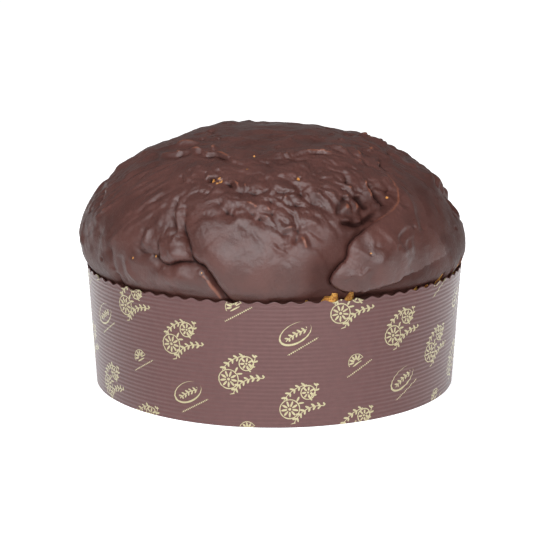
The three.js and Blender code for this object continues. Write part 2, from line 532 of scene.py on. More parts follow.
def fold(points, step, sharp, fade, overhang=0.0, start=0.15, end=0.15, crest=0.15, lean=0.0):
    """A step up to the stroke's right, which rises on by its lean to a crest and then sinks."""
    near, away, share, length = near_stroke(points, max(fade, 6 * sharp))
    ends = tapered(share, start, end) * (0.5 + 0.5 * uneven(points, share, length))
    over = np.maximum(away, 0)
    lobe = (1 - np.exp(-over / sharp)) * (1 - smooth(over, crest * fade, fade))
    lobe *= 1 - lean * (1 - smooth(over, 0, crest * fade))
    foot = np.exp(-np.hypot(away, 0.4) / np.where(away > 0, 0.5 * sharp, 1.8 * sharp))
    height[near] += step * ends * (lobe - 0.4 * foot)
    if overhang:
        path, _ = smooth_path(points)
        centre = path[np.clip((share * (len(path) - 1)).astype(int), 0, len(path) - 1)]
        outwards = centre - wavy_ground[near]
        outwards /= np.linalg.norm(outwards, axis=1)[:, None] + 1e-6
        lean = np.exp(-(((away - 1.4 * sharp) / (1.3 * sharp)) ** 2)) * (away > 0)
        slide[near] += outwards * (overhang * ends * lean)[:, None]


def mound(turn_at, tilt_at, wide, tall, rise, spin=0.0, flat=2.0):
    """A rounded swelling, or a hollow if rise is negative; spin turns it clockwise, in degrees."""
    middle = on_dome(np.array(turn_at, float), np.array(tilt_at, float))
    across = heading(turn_at + 90.0, 90.0)
    outward = heading(turn_at, tilt_at)
    down = np.cross(across, outward)
    near = np.flatnonzero(np.linalg.norm(ground - middle, axis=1) < 3 * max(wide, tall))
    gap = wavy_ground[near] - middle
    c, s = math.cos(math.radians(spin)), math.sin(math.radians(spin))
    u = gap @ across * c + gap @ down * s
    v = -gap @ across * s + gap @ down * c
    height[near] += rise * np.exp(-((np.hypot(u / wide, v / tall)) ** flat))


def rub(turn_at, tilt_at, size, reach):
    """A thumb rubbing the clay smooth: heights turn into their mean over the reach."""
    middle = on_dome(np.array(turn_at, float), np.array(tilt_at, float))
    far = np.linalg.norm(ground - middle, axis=1)
    near = np.flatnonzero(far < 1.5 * size)
    spread = ((ground[near][:, None, :] - ground[near][None]) ** 2).sum(-1)
    weight = np.exp(-spread / reach**2)
    pressed = np.exp(-((far[near] / size) ** 4))
    height[near] += pressed * (weight @ height[near] / weight.sum(1) - height[near])


def pit(turn_at, tilt_at, radius, depth):
    mound(turn_at, tilt_at, radius * 2.0, radius * 1.9, depth * 0.3)
    mound(turn_at, tilt_at, radius, radius * 0.9, -depth * 1.3, flat=3.0)


def upwards(points):
    return points[::-1]


# %% [markdown]
# ## Broad shapes
#
# First come the shapes that the outline shows: bumps of the risen bread, a flat crown and a flattened
# right flank. A sculptor always goes from large to small, because a small fold follows the swelling that
# it lies on.

# %% Broad swellings
BROAD = [
    (-92, 51, 22, 8, 2.2, 0),
    (-92, 53, 14, 4.5, -1.6, 0),
    (-92, 60, 14, 4, 1.9, 0),
    (-88, 69, 14, 5, -2.4, 0),
    (150, 17, 9, 7, 1.1, 0),
    (-133, 26, 8, 8, 1.5, 0),
    (-94, 62, 26, 7, -1.4, 0),
    (-75, 40, 26, 9, 1.2, 20),
    (-105, 24, 26, 8, 1.2, 0),
    (180, 16, 20, 13, -1.8, 0),
    (-104, 50, 13, 8, -2.0, 0),
    (115, 33, 15, 9, -1.8, 0),
    (82, 63, 9, 5.5, 3.6, 0),
    (88, 73, 36, 13, -4.4, 0),
    (100, 52, 24, 12, -2.6, 0),
    (94, 56, 12, 4.5, -2.4, 0),
    (60, 48, 18, 9, 1.2, -30),
    (42, 40, 20, 10, 2.0, -25),
    (0, 20, 34, 24, -1.0, 0),
    (-34, 27, 12, 4.5, 1.5, 6),
    (-8, 30, 13, 4, -1.5, -4),
    (24, 26, 13, 4.5, 1.5, -6),
    (-62, 20, 10, 4, -1.3, 10),
    (58, 26, 10, 4, -1.5, -16),
    (0, 13, 14, 4, 1.3, 4),
    (46, 16, 9, 4, 1.2, -10),
    (-12, 77, 19, 22, 3.0, -8),
    (-24, 86, 22, 8, 1.0, 0),
    (-2, 95, 38, 8, -1.6, 0),
    (-38, 95, 24, 7, -0.8, 0),
    (48, 95, 26, 7, -1.6, 0),
    (-62, 80, 34, 22, 1.0, 0),
    (-34, 55, 13, 10, 1.2, 0),
    (125, 72, 30, 24, 2.4, 15),
    (158, 52, 26, 18, -2.4, 0),
    (178, 78, 28, 24, 2.6, -10),
    (-146, 66, 32, 22, 2.4, 10),
    (-118, 80, 18, 16, -1.8, 0),
    (110, 40, 26, 14, 1.4, 0),
    (-160, 34, 28, 12, 1.6, 0),
]
for turn_at, tilt_at, wide, tall, rise, spin in BROAD:
    mound(turn_at, tilt_at, wide, tall, rise, spin)
print("broad relief", height.min().round(2), "to", height.max().round(2), "mm")

# %% [markdown]
# ## The big fold
#
# At the front right a thick tongue of chocolate slid down and set over the layer below it. Its left edge
# is a sharp, overhanging step that runs from the shoulder down to a rounded tip above the rim. Beside its
# upper half lies a deep, knobbly crevice where the bread had torn.

# %% Big fold and crevice
FOLD_TOP = [(52.5, 54), (50.4, 58), (48.6, 62), (45.8, 65.6), (41, 68.6), (35.5, 70.6), (30, 72.6)]
FOLD_EDGE = [(45, 86.6), (38, 87.8), (32.5, 88.7), (28, 89.3), (23, 89.5), (19.4, 89.2)]
FOLD_EDGE += [(17.3, 88.2), (16.2, 86.8), (16.8, 85.2), (18.9, 82.8), (21.1, 80.2), (22.4, 77.6)]
FOLD_EDGE += [(24.9, 75.6), (30, 73), (35, 70.6), (41, 68)]
mound(29.5, 67.2, 10, 8, -3.2, flat=2.4)
mound(14.5, 93, 10, 14, -3.4)
fold(upwards(FOLD_TOP), 1.2, 1.4, 16, start=0.3, end=0.4)
ridge(FOLD_TOP, 0.9, 0.9, start=0.3, end=0.1)
fold(FOLD_EDGE, 6.6, 1.0, 40, overhang=2.3, start=0.22, end=0.25, crest=0.45, lean=0.42)
mound(27, 92.6, 15, 3.4, -2.4)
rub(30.5, 81.2, 11, 3.2)
rub(41, 80, 11, 3.2)
CLEFTS = [
    ([(37.6, 58.6), (38.0, 61.4), (38.6, 64.4), (38.4, 67.6)], 6.5, 1.5, 2.0),
    ([(34.6, 68.4), (31.4, 70.2), (27.4, 71.8), (23.0, 71.4), (20.4, 70.6)], 4.4, 1.6, 2.2),
    ([(30.6, 62.2), (31.2, 65), (31.8, 67.8)], 4.6, 1.4, 1.5),
    ([(26.4, 62.2), (22.4, 65.2), (20.6, 68.8)], 2.6, 1.4, 1.8),
]
for cleft in CLEFTS:
    crease(*cleft)
crease([(46.6, 60.8), (43.4, 63), (40.4, 66.2)], 1.4, 1.8, 1.4)
mound(35.3, 61.6, 1.9, 6.6, 3.0, spin=8, flat=3.0)
mound(34.6, 66.8, 3.2, 3.4, 3.4, flat=3.0)
mound(28.4, 66.4, 2.2, 3.4, 2.4, spin=15, flat=2.6)
mound(24.4, 66.2, 2.4, 2.8, 2.4, flat=2.6)
mound(27.6, 62.0, 2.2, 2.0, 1.2)
mound(23.6, 70.2, 3.0, 1.5, 2.2, spin=12)
mound(28.2, 71.0, 1.7, 1.6, 2.0)
mound(24.2, 73.6, 3.0, 1.7, 1.4, spin=-15)
mound(46.6, 58.6, 2.9, 2.4, 1.8, flat=3.0)
mound(46.6, 58.9, 1.4, 1.2, -1.5)
mound(42.4, 64.8, 2.0, 1.7, 1.3, flat=3.0)
mound(42.8, 48.4, 3.2, 2.4, 2.0, flat=2.6)
mound(36.6, 58.2, 2.4, 1.8, 1.6)
mound(21.0, 57.4, 2.8, 2.4, 1.4, spin=20)
pit(42, 64.7, 0.9, 1.4)
print("fold relief", height.min().round(2), "to", height.max().round(2), "mm")

# %% [markdown]
# ## Creases and wrinkles at the front
#
# Setting chocolate wrinkles as it slides. The strokes below are the ones that a viewer would recognise:
# the long crease left of the middle, the wrinkle shaped like an S, the crumpled knot and the lips round
# the crown.

# %% The long crease and its rolls
LONG_CREASE = [(-27.6, 66), (-27.4, 70), (-26.6, 73), (-24.6, 75.4), (-23, 77.8), (-22.2, 80)]
LONG_CREASE += [(-20.6, 81.8), (-18.4, 82.8), (-16.8, 84.6), (-15.3, 87.4), (-13.9, 90.2)]
LONG_CREASE += [(-12.4, 93.2), (-12, 95)]
PILLOW_FOOT = [(-33.4, 81.4), (-31.4, 82.8), (-29.2, 83), (-27, 82.4), (-25, 81.8), (-23.2, 81.6)]
PILLOW_FOOT += [(-21.8, 82.2)]
PILLOW_CREASE = [(-42.4, 79.4), (-41, 80.3), (-36.2, 81.2), (-32.5, 82.1), (-28.5, 82.7), (-24.5, 82)]
PILLOW_CREASE += [(-20, 82.6)]
mound(-27.6, 78.4, 6.4, 5.8, 2.8, spin=15, flat=2.6)
mound(-27, 87.2, 13, 5.4, 2.4, flat=2.6)
crease(LONG_CREASE, 4.2, 2.6, 2.6, start=0.3, end=0.02)
fold(upwards(LONG_CREASE), 2.6, 2.0, 24, overhang=1.2, start=0.02, end=0.4)
fold(upwards(PILLOW_FOOT), 2.8, 1.3, 9, overhang=1.3, start=0.2, end=0.2)
fold([(-32.2, 82.4), (-33.4, 79.6), (-34, 76.6)], 1.8, 1.5, 8)
ridge([(-21, 83.8), (-18.6, 85.4), (-17.1, 87.8), (-15.9, 90.4), (-15.2, 92.8)], 1.9, 1.9, end=0.05)
SLIT = [(-32.4, 63), (-31.8, 66.2), (-31.1, 69), (-29.8, 72), (-28.7, 74), (-29.1, 75.4), (-28.8, 77.2)]
fold(upwards(SLIT), 2.3, 0.8, 4.5, overhang=0.6, start=0.2, end=0.25)
crease(SLIT, 2.0, 0.9, 1.0)
ridge([(-30.1, 64.4), (-29.2, 68.2), (-27.8, 71.2), (-27, 74)], 1.0, 1.1)
mound(-35.4, 70.6, 2.6, 6.0, 1.0, spin=8)
mound(-42.2, 67.6, 3.0, 2.2, 1.0)
mound(-37.4, 66.6, 2.6, 3.4, 1.0, spin=-20)
ridge([(-38.8, 73.8), (-38.2, 76.6), (-38.7, 79.8)], 1.2, 1.5)
crease([(-40.4, 74.2), (-40.0, 76.8), (-40.4, 79.4)], 0.9, 1.4, 2.2)
crease(PILLOW_CREASE, 2.6, 2.0, 1.6)
crease([(-53, 81), (-51.4, 84.4), (-51.6, 88.4)], 1.3, 2.2, 3.4)
ridge([(-45.4, 83.6), (-43.6, 87), (-40.4, 90.6)], 1.4, 1.8)
crease([(-47, 82.6), (-47.2, 87), (-46, 91)], 1.1, 1.8, 2.4)
crease([(-50.4, 88), (-50.9, 92.8)], 2.4, 1.7, 1.7, end=0.02)
ridge([(-80, 64.5), (-72, 58.8), (-62, 52.4), (-52, 47.8)], 0.9, 2.2)
crease([(-84, 60.4), (-74, 54.6), (-62, 48.8)], 0.8, 2.0, 3.0)
crease([(-63, 76), (-60, 78.4), (-57, 79)], 0.7, 1.8, 1.8)
crease([(-74, 83), (-68, 80), (-64, 75.6)], 0.6, 2.4, 2.4)

# %% The crumpled middle
mound(-24.2, 55.6, 3.0, 2.2, -1.0)
crease([(-28.4, 52), (-27.2, 55.6), (-24.6, 58.2), (-20.8, 58.6)], 1.1, 1.4, 2.2)
crease([(-19.2, 56.2), (-16, 57.3), (-13, 59.4), (-9.4, 61.2)], 1.7, 1.6, 2.2)
ridge([(-18.4, 54.6), (-14.8, 55.8), (-11.8, 58), (-9, 60)], 1.2, 1.4)
crease([(-8.6, 60.4), (-6.2, 60.7), (-5.2, 62), (-6.6, 63.2)], 1.3, 1.0, 1.2)
crease([(-18, 63), (-15.7, 65.9), (-13.9, 67.9), (-12, 68.4), (-10, 69.6)], 1.9, 1.8, 2.6)
crease([(-10, 69.4), (-7.4, 72.4), (-4.2, 75), (-1.4, 78.6)], 1.2, 2.4, 4.0)
crease([(-15, 66), (-13.6, 67.2), (-14.8, 68.8)], 1.0, 0.9, 1.2)
crease([(-11.4, 65.4), (-10, 67), (-11.2, 68.2)], 1.1, 0.9, 1.2)
fold([(8, 69.2), (4.4, 65.8), (0, 63.6), (-4.6, 62.4)], 1.2, 1.2, 7)
fold([(5.4, 70.8), (1, 68), (-4, 66.8), (-9, 64.8)], 1.3, 1.2, 7)
fold([(4, 73.4), (-0.6, 70.6), (-6, 68.6)], 1.1, 1.2, 6)
crease([(1, 59.6), (4.6, 61.2), (8, 64.6), (9.4, 67.2)], 1.2, 1.6, 1.8)
crease([(-2.6, 59), (-1.4, 61.8), (1.6, 64.2)], 0.9, 1.4, 1.4)
crease([(7.2, 56), (9.6, 59.4), (12, 62.8), (14.8, 65.4), (17.6, 67.8), (19.6, 70.4)], 2.4, 2.6, 3.4)
crease([(13.6, 58.6), (16.4, 61.4), (19.4, 63.4)], 1.3, 1.6, 2.0)
ridge([(12.4, 57.6), (15.8, 61.2), (20, 64.6)], 1.0, 1.8)
crease([(8.4, 71.8), (5.4, 73.2), (2.2, 73.6)], 1.5, 1.4, 1.8)
crease([(8.4, 72.2), (7.2, 74.4), (6.7, 77)], 1.7, 1.2, 1.6)
crease([(8.8, 72.2), (10.9, 75), (11.8, 78.6)], 1.4, 1.4, 1.4)
crease([(9, 72), (12, 73.2), (15.4, 76.2)], 1.3, 1.6, 1.6)
crease([(8.2, 71.8), (6.8, 69.4), (6.4, 66.4)], 1.1, 1.4, 1.6)
mound(9.0, 75.6, 1.5, 3.2, 1.6, spin=-18)
mound(5.4, 71.4, 2.6, 2.2, 1.4, spin=20)
mound(12.4, 70.4, 3.0, 2.4, 1.4, spin=30)
ridge([(2.0, 76.4), (4.4, 76.9), (6.4, 75.2)], 1.3, 1.2)
ridge([(-0.2, 76.4), (1.8, 78), (4.8, 78.8)], 1.2, 1.2)
crease([(-0.2, 75.2), (2.2, 76.9), (5, 77.8)], 1.0, 1.2, 1.2)
ridge([(10.8, 77), (13, 80.4), (15, 84)], 0.9, 1.8)
crease([(-7, 78), (-6, 81), (-6.6, 84)], 0.5, 3.0, 3.0)

# %% Crown, lips and right lobe
CROWN_LIP = [(-10, 42.6), (0, 43.6), (10, 43.4), (20, 45), (27, 48.4), (31.4, 52.6), (32.6, 57.4)]
fold(upwards(CROWN_LIP), 1.5, 3.2, 24, start=0.3, end=0.3)
ridge([(-1, 38.8), (7, 40.6), (12, 39.6)], 1.2, 1.5)
crease([(-14, 34), (-2, 35.6), (10, 35), (20, 33)], 1.1, 3.4, 2.6)
ridge([(-45.5, 39.2), (-37.5, 42), (-32, 40.5), (-24, 42.2), (-16.8, 45.2)], 1.7, 1.5)
crease([(-46, 41.2), (-38, 44), (-31, 42.6), (-23.4, 44.6), (-17, 47.6)], 1.4, 1.2, 1.6)
crease([(-20, 45), (-13.2, 48), (-6, 49)], 1.6, 1.4, 2.4)
ridge([(11.2, 41), (19.8, 39.3), (28.5, 40.6), (34.2, 43.2), (36, 45.8)], 1.1, 0.9)
crease([(11.2, 42.6), (19.8, 41.2), (27.4, 42.2), (32.6, 44.6)], 1.5, 1.1, 1.6)
ridge([(53, 38.4), (49, 43.4), (45.4, 48.4)], 2.4, 1.9)
ridge([(-76, 69.2), (-68.8, 60.8), (-61.2, 53.5), (-55.5, 46.8)], 1.2, 3.0)
ridge([(-71.8, 76.2), (-63.8, 69), (-55.2, 62.5), (-48.8, 57)], 0.9, 3.2)
ridge([(-90, 60), (-85.5, 52.8), (-67.2, 47.8), (-50, 46.2)], 1.3, 2.6)
crease([(-69.2, 41.5), (-65.2, 35.2), (-46, 31.2)], 1.2, 2.0, 3.0)
ridge([(-20, 22.5), (8.5, 20.2), (33, 25.2), (48.2, 32.2)], 1.3, 2.2)
crease([(52.5, 51), (67.2, 49.2), (82.2, 48.8)], 1.4, 1.4, 2.2)
ridge([(50, 64.8), (48, 72.2), (46.8, 78)], 0.9, 2.2)
ridge([(96, 39.5), (93, 43.8), (86.5, 47.8)], 2.6, 2.4)
ridge([(-66.8, 43), (-62.8, 39.4), (-54.2, 35.6)], 1.6, 1.6)
mound(-36.5, 38.6, 2.4, 2.2, 2.4, flat=2.8)
mound(-28, 36.4, 2.0, 1.6, 1.4)
mound(-9, 46.4, 6, 2.6, -1.0)
mound(59.5, 44.2, 2.4, 2.0, 2.2)
mound(64, 50, 3.2, 2.4, 1.8)
mound(70, 44, 2.8, 2.6, -1.8)
mound(13.6, 47.4, 4.6, 2.8, 1.5)
mound(4.6, 52.6, 3.4, 1.6, 1.2)
mound(11.8, 53.8, 4.0, 2.4, -0.8)
mound(1.5, 57.4, 3.4, 2.4, 1.1)
ridge([(-87, 51), (-70, 44), (-60, 37.4), (-48, 33.8)], 1.5, 2.4)
ridge([(-66, 50), (-57, 45.6), (-48, 41.6), (-38, 39.4)], 1.7, 2.2)
crease([(-62, 51.4), (-54, 47), (-45, 43.8)], 1.0, 2.0, 2.4)
crease([(-84, 27), (-76, 26), (-68, 26.8)], 1.8, 1.6, 1.6)
crease([(-52, 30.6), (-38, 29.4), (-22, 27)], 0.9, 2.6, 2.6)
mound(-45, 41.2, 2.6, 2.2, 1.4)
mound(-38.2, 37.4, 2.4, 2.0, 1.5)
ridge([(38.4, 35), (41, 39.6), (43.6, 44.8)], 2.0, 2.2)
crease([(36, 35.4), (38.2, 40), (40.4, 45)], 1.1, 1.6, 1.6)
mound(80, 37, 4, 3, 2.0)
mound(84, 52, 3, 2.4, 1.8)
mound(79, 57, 2.6, 2.2, 1.6)
mound(84, 66, 4.6, 3.6, 2.8, flat=2.6)
mound(86, 59.5, 2.4, 2.0, 1.8)
mound(93, 37.5, 3.0, 2.4, 2.8, flat=2.6)
crease([(57, 50), (54.8, 53.4), (53, 56.6)], 2.6, 1.6, 2.0)
crease([(60, 40), (67, 46.4), (73, 53), (76, 58)], 1.7, 1.8, 2.4)
ridge([(56, 40.6), (63.6, 47.2), (69, 53.4)], 1.1, 2.0)
crease([(64, 56), (70, 62), (73, 68)], 0.9, 2.4, 2.4)
ridge([(36.2, 77), (39, 74.9), (43, 74), (46.4, 74.8)], 1.0, 1.2)
crease([(36.6, 78), (39.6, 76.2), (43.2, 75.4)], 0.8, 1.2, 1.4)
ridge([(38.6, 78.8), (41.4, 77.2), (44.6, 76.8)], 0.9, 1.1)
mound(38.2, 81, 2.6, 1.8, 1.0)
mound(42, 80, 2.0, 3.4, 0.9)
crease([(33.8, 76.4), (31, 78.4), (28, 78)], 1.0, 1.8, 2.2)
crease([(25, 82), (27, 84.6), (26.6, 87)], 0.6, 2.4, 2.4)
crease([(40.4, 83.4), (42.2, 86.4), (42, 89.4)], 0.8, 2.0, 2.0)
mound(-21, 55.6, 8, 4.4, -1.2, spin=6)
pit(-24.4, 55.5, 1.9, 3.0)
pit(-20.5, 55.8, 1.4, 1.4)
pit(10.5, 54.5, 1.6, 1.8)
pit(36.3, 79.4, 0.9, 1.2)
pit(45.8, 74.9, 0.9, 1.2)
for turn_at, tilt_at in [(-10, 41), (-11, 49.5), (-34.8, 81.6), (-42, 83), (-19.3, 84.7), (27, 80)]:
    pit(turn_at, tilt_at, 0.75, 0.9)
for turn_at, tilt_at in [(-23, 68), (-21.6, 67.4), (-20.4, 68.5), (-19, 67.9), (-27, 61), (4, 58.4)]:
    pit(turn_at, tilt_at, 0.45, 0.8)
print("front relief", height.min().round(2), "to", height.max().round(2), "mm")

# %% [markdown]
# ## The sides and the back
#
# Nobody sees one particular crease there, but they must not be smoother than the front. A seeded random
# generator lays more folds, creases, knobs and pits, which mostly run down the dome as melted chocolate
# does. The front gets quieter strokes too: short creases all over, pairs of a crease and a lip in its
# crumpled middle, and combed ridges on the left flank. The upper left stays calm, for a smooth outline.

# %% Sides and back
chance = np.random.default_rng(20)


def meander(turn_at, tilt_at, lean, steps, stride):
    points = [(turn_at, tilt_at)]
    for _ in range(steps):
        lean += chance.normal(0, 0.45)
        last_turn, last_tilt = points[-1]
        spread = max(0.35, math.sin(math.radians(last_tilt)))
        next_turn = last_turn + stride * math.sin(lean) / spread
        points.append((next_turn, min(93, last_tilt + stride * math.cos(lean))))
    return points


def away_from_front(low=48):
    return chance.uniform(low, 360 - low)


def outline_calm(spot):
    """Less relief where it would break the smooth outline at the upper left."""
    past_back, past_left = smooth(spot[0], 205, 225), smooth(spot[0], 270, 290)
    return 1 - 0.7 * past_back * (1 - past_left) * (1 - smooth(spot[1], 55, 70))


for _ in range(15):
    start = away_from_front(84), chance.uniform(40, 72)
    stroke = meander(*start, chance.normal(0, 0.5), 5, chance.uniform(3, 5))
    if chance.random() < 0.5:
        stroke = upwards(stroke)
    step = chance.uniform(1.6, 3.0) * outline_calm(stroke[0])
    sharp, fade = chance.uniform(1.2, 2.4), chance.uniform(12, 22)
    fold(stroke, step, sharp, fade, overhang=chance.uniform(0, 1.4))
for _ in range(54):
    start = away_from_front(76), chance.uniform(24, 84)
    stroke = meander(*start, chance.normal(0, 0.8), 4, chance.uniform(1.6, 3.4))
    depth = chance.uniform(0.8, 2.4) * outline_calm(stroke[0])
    crease(stroke, depth, chance.uniform(1.2, 3.0), chance.uniform(1.2, 3.0))
for _ in range(36):
    start = away_from_front(76), chance.uniform(24, 82)
    stroke = meander(*start, chance.normal(1.2, 0.6), 3, chance.uniform(2, 4))
    rise = chance.uniform(0.7, 1.7) * smooth(stroke[0][1], 10, 52)
    ridge(stroke, rise * outline_calm(stroke[0]), chance.uniform(1.2, 2.4))
for _ in range(40):
    size = chance.uniform(1.8, 4.5)
    spot = (away_from_front(76), chance.uniform(18, 82))
    rise = chance.uniform(0.6, 2.0) * smooth(spot[1], 10, 52) * outline_calm(spot)
    mound(*spot, size, size * chance.uniform(0.7, 1.6), rise)
for _ in range(90):
    spot = (chance.uniform(-84, 84), chance.uniform(20, 74))
    if turn_between(-12, spot[0]) ** 2 + (spot[1] - 80) ** 2 < 240:
        continue
    stroke = meander(*spot, chance.normal(1.1, 0.7), 2, chance.uniform(1.4, 3.2))
    crease(stroke, chance.uniform(0.3, 1.0), chance.uniform(0.8, 1.6), chance.uniform(0.8, 1.6))
    if chance.random() < 0.5:
        stroke = meander(*spot, chance.normal(1.1, 0.7), 1, 2.2)
        ridge(stroke, chance.uniform(0.4, 1.2), chance.uniform(0.9, 1.5))
for _ in range(34):
    pit(away_from_front(48), chance.uniform(15, 88), chance.uniform(0.5, 1.6), chance.uniform(0.7, 2.0))

for _ in range(48):
    start = chance.normal(1, 17), chance.normal(61, 5.5)
    stroke = meander(*start, chance.normal(0.9, 0.6), 3, chance.uniform(1.0, 2.2))
    crease(stroke, chance.uniform(0.4, 1.2), chance.uniform(0.7, 1.2), chance.uniform(0.8, 1.6))
    ridge([(t + 1.7, k - 0.9) for t, k in stroke], chance.uniform(0.3, 0.9), chance.uniform(0.8, 1.2))
for _ in range(30):
    start_turn, start_tilt = chance.uniform(-90, -44), chance.uniform(56, 82)
    lean = chance.uniform(0.6, 1.1)
    stroke = [(start_turn + 4 * lean * step, start_tilt - 3.6 * step) for step in range(4)]
    ridge(stroke, chance.uniform(0.3, 0.8), chance.uniform(0.9, 1.8))
    crease([(t - 1.5, k - 1) for t, k in stroke], chance.uniform(0.2, 0.6), 1.2, 1.8)

# %% [markdown]
# ## Rumples and ripples
#
# Between the folds the surface is never quite smooth. Billowed noise gives puffy lobes with sharp valleys
# between them, as chocolate has over rough bread: strong in the crumpled middle of the front, weak on the
# smooth lobes. The left flank has fine slanting ripples where the chocolate was combed by its own flow.


# %% Rumples
def noise_at(points, size, octaves=3, offset=0.0):
    shift = Vector((offset, -offset, 2 * offset))
    return np.array([noise.fractal(Vector(p) / size + shift, 0.9, 2.1, octaves) for p in points])


def billow(points, size, offset):
    """Rounded cushions with sharp valleys between them, from 0 in the valleys to about 1."""
    return np.clip(np.sqrt(np.abs(noise_at(points, size, 1, offset)) * 2.2), 0, 1.2)


warp = np.stack([noise_at(ground, 17, 2, offset) for offset in (5.1, 9.7, 14.2)], -1)
warped = ground + 5 * warp
slide_way = np.array([0.74, 0.0, -0.67])
drawn_out = warped - 0.45 * (warped @ slide_way)[:, None] * slide_way
swell = noise_at(warped, 26, 2, 1.3)
rumple = noise_at(warped, 9, 3, 3.9)
cushions = billow(drawn_out, 13, 7.7)
small_cushions = billow(drawn_out + 1.5 * warp, 5.5, 2.4)
fine = noise_at(ground, 2.6, 2, 21.0)


def area(turn_at, tilt_at, wide, tall):
    across = turn_between(turn_at, turn) * np.sin(np.radians(tilt)) / wide
    return np.exp(-(across**2 + ((tilt - tilt_at) / tall) ** 2))


crumpled = 0.6 * area(-13, 60, 9, 6) + area(2, 66, 11, 9) + 0.9 * area(27, 62, 12, 9)
crumpled += 0.4 * area(-30, 74, 8, 10)
crumpled += 0.35 * area(5, 46, 40, 10)
crumpled += 0.4 * area(68, 48, 14, 12) + 0.8 * area(122, 64, 22, 16) + 0.8 * area(-152, 60, 26, 16)
crumpled += 0.2 * smooth(np.abs(turn), 84, 110) * smooth(tilt, 52, 66)
calm = area(-12, 80, 9, 9) + area(34, 82, 14, 8) + 0.7 * area(16, 82, 5, 8) + 0.6 * area(-66, 70, 22, 22)
calm += 0.6 * area(66, 76, 14, 14)
rough = np.clip(0.24 + crumpled - 0.7 * calm - 0.12 * (1 - smooth(tilt, 22, 38)), 0.05, 1.1)
puffs = 1.9 * (cushions - 0.6) + 1.0 * (small_cushions - 0.6) + 0.5 * rumple
height += rough * puffs + 0.8 * swell + 0.04 * fine

RIPPLE_PITCH = 6.5
slant = ground[:, 2] * 0.75 + np.radians(turn) * 62 + 2.0 * rumple
left_flank = area(-68, 68, 20, 16)
height += 0.12 * left_flank * np.sin(slant * 2 * math.pi / RIPPLE_PITCH)
print("full relief", height.min().round(2), "to", height.max().round(2), "mm")

# %% [markdown]
# ## Set the chocolate
#
# Now the heights become a mesh. Hollows below 3 mm are softly limited, knobs stop at 8 mm, and relief dies
# away at the hem, which has to slip inside the paper. The shell gets its inner face from a second, coarse
# icosphere, and a bridge joins the two edges, so the coating is one closed body. The lining lies 2.4 mm
# below the skin at the hem and 6.8 mm below the dome elsewhere, so that no crease breaks through it.

# %% Place the clay
FREE_DEPTH, SOFT_DEPTH = 3.0, 3.2
HIGHEST = 8.0
RIM_DEPTH = 2.4

inside_rim = smooth(tilt, 89.5, 92.2)
too_deep = np.minimum(height, -FREE_DEPTH) + FREE_DEPTH
softened = -FREE_DEPTH - SOFT_DEPTH * (1 - np.exp(too_deep / SOFT_DEPTH))
height = np.where(height < -FREE_DEPTH, softened, height)
height = np.minimum(height, HIGHEST)
raised = height * (1 - 0.92 * inside_rim)
hollowed = height * (1 - inside_rim) + np.maximum(height, -RIM_DEPTH) * inside_rim
height = np.where(height > 0, raised, hollowed)
slide *= (1 - inside_rim)[:, None]
shaped = ground + way * height[:, None] + slide
for vertex, place in zip(coat_bm.verts, shaped * MM):
    vertex.co = place
bmesh.ops.smooth_vert(
    coat_bm, verts=coat_bm.verts[:], factor=0.35, use_axis_x=True, use_axis_y=True, use_axis_z=True
)

# %% Line the shell
INNER_DEPTH = 6.8
HEM_THICKNESS = 2.4

inner_bm = cut_ball(5)
inner_turn, inner_tilt = directions(inner_bm)
inner_tilt = drawn_to_hem(inner_turn, inner_tilt)
finder = kdtree.KDTree(len(turn))
for index, point in enumerate(ground):
    finder.insert(point, index)
finder.balance()


def hollow_at(places):
    """How far the coating is hollowed, in millimetres below the dome, at the nearest clay point."""
    return np.array([max(0.0, -height[finder.find(place)[1]]) for place in places])


near_hem = smooth(inner_tilt, 84, 91)
depth = INNER_DEPTH + (HEM_THICKNESS - INNER_DEPTH) * near_hem
depth += near_hem * hollow_at(on_dome(inner_turn, inner_tilt))
inner_place = on_dome(inner_turn, inner_tilt, depth)
for vertex, place in zip(inner_bm.verts, inner_place * MM):
    vertex.co = place
bmesh.ops.reverse_faces(inner_bm, faces=inner_bm.faces[:])
outer_mesh = mesh_from(coat_bm, "coating_skin")
inner_mesh = mesh_from(inner_bm, "coating_lining")
outer_count = len(outer_mesh.vertices)
coat_bm = bmesh.new()  # a fresh one keeps the clay points first and in order
for skin in (outer_mesh, inner_mesh):
    coat_bm.from_mesh(skin)
    bpy.data.meshes.remove(skin)
coat_bm.verts.index_update()
inner_edge = [edge for edge in coat_bm.edges if edge.is_boundary and edge.verts[0].index >= outer_count]
outer_edge = [edge for edge in coat_bm.edges if edge.is_boundary and edge.verts[0].index < outer_count]
bmesh.ops.bridge_loops(coat_bm, edges=outer_edge + inner_edge)
open_edges = sum(1 for edge in coat_bm.edges if edge.is_boundary)
coating = new_object("chocolate_coat", mesh_from(coat_bm, "chocolate_coat"))
print(len(coating.data.polygons), "faces in the coating,", open_edges, "open edges")

# %% [markdown]
# The finish has to know what was sculpted, so every point gets five attributes. "Thin" is how sharply it
# stands out from its neighbours, since thin edges of chocolate look redder. The second is how far it lies
# in a crease, which sets how much painted shade darkens its colour. "Crumb" marks the few pinholes where
# bread or peel shows through. The fourth is where the coating set dull, which also gets a little painted
# shade, and "crumpled" is how rough the area is.


# %% Attributes of the coating
def add_attribute(piece, name, values):
    made = piece.data.attributes.new(name, "FLOAT", "POINT")
    made.data.foreach_set("value", np.asarray(values, np.float32))


def averaged(values, edges, count):
    total = np.zeros((count,) + values.shape[1:])
    np.add.at(total, edges[:, 0], values[edges[:, 1]])
    np.add.at(total, edges[:, 1], values[edges[:, 0]])
    share = np.bincount(edges.ravel(), minlength=count)
    return total / share.reshape((-1,) + (1,) * (values.ndim - 1))


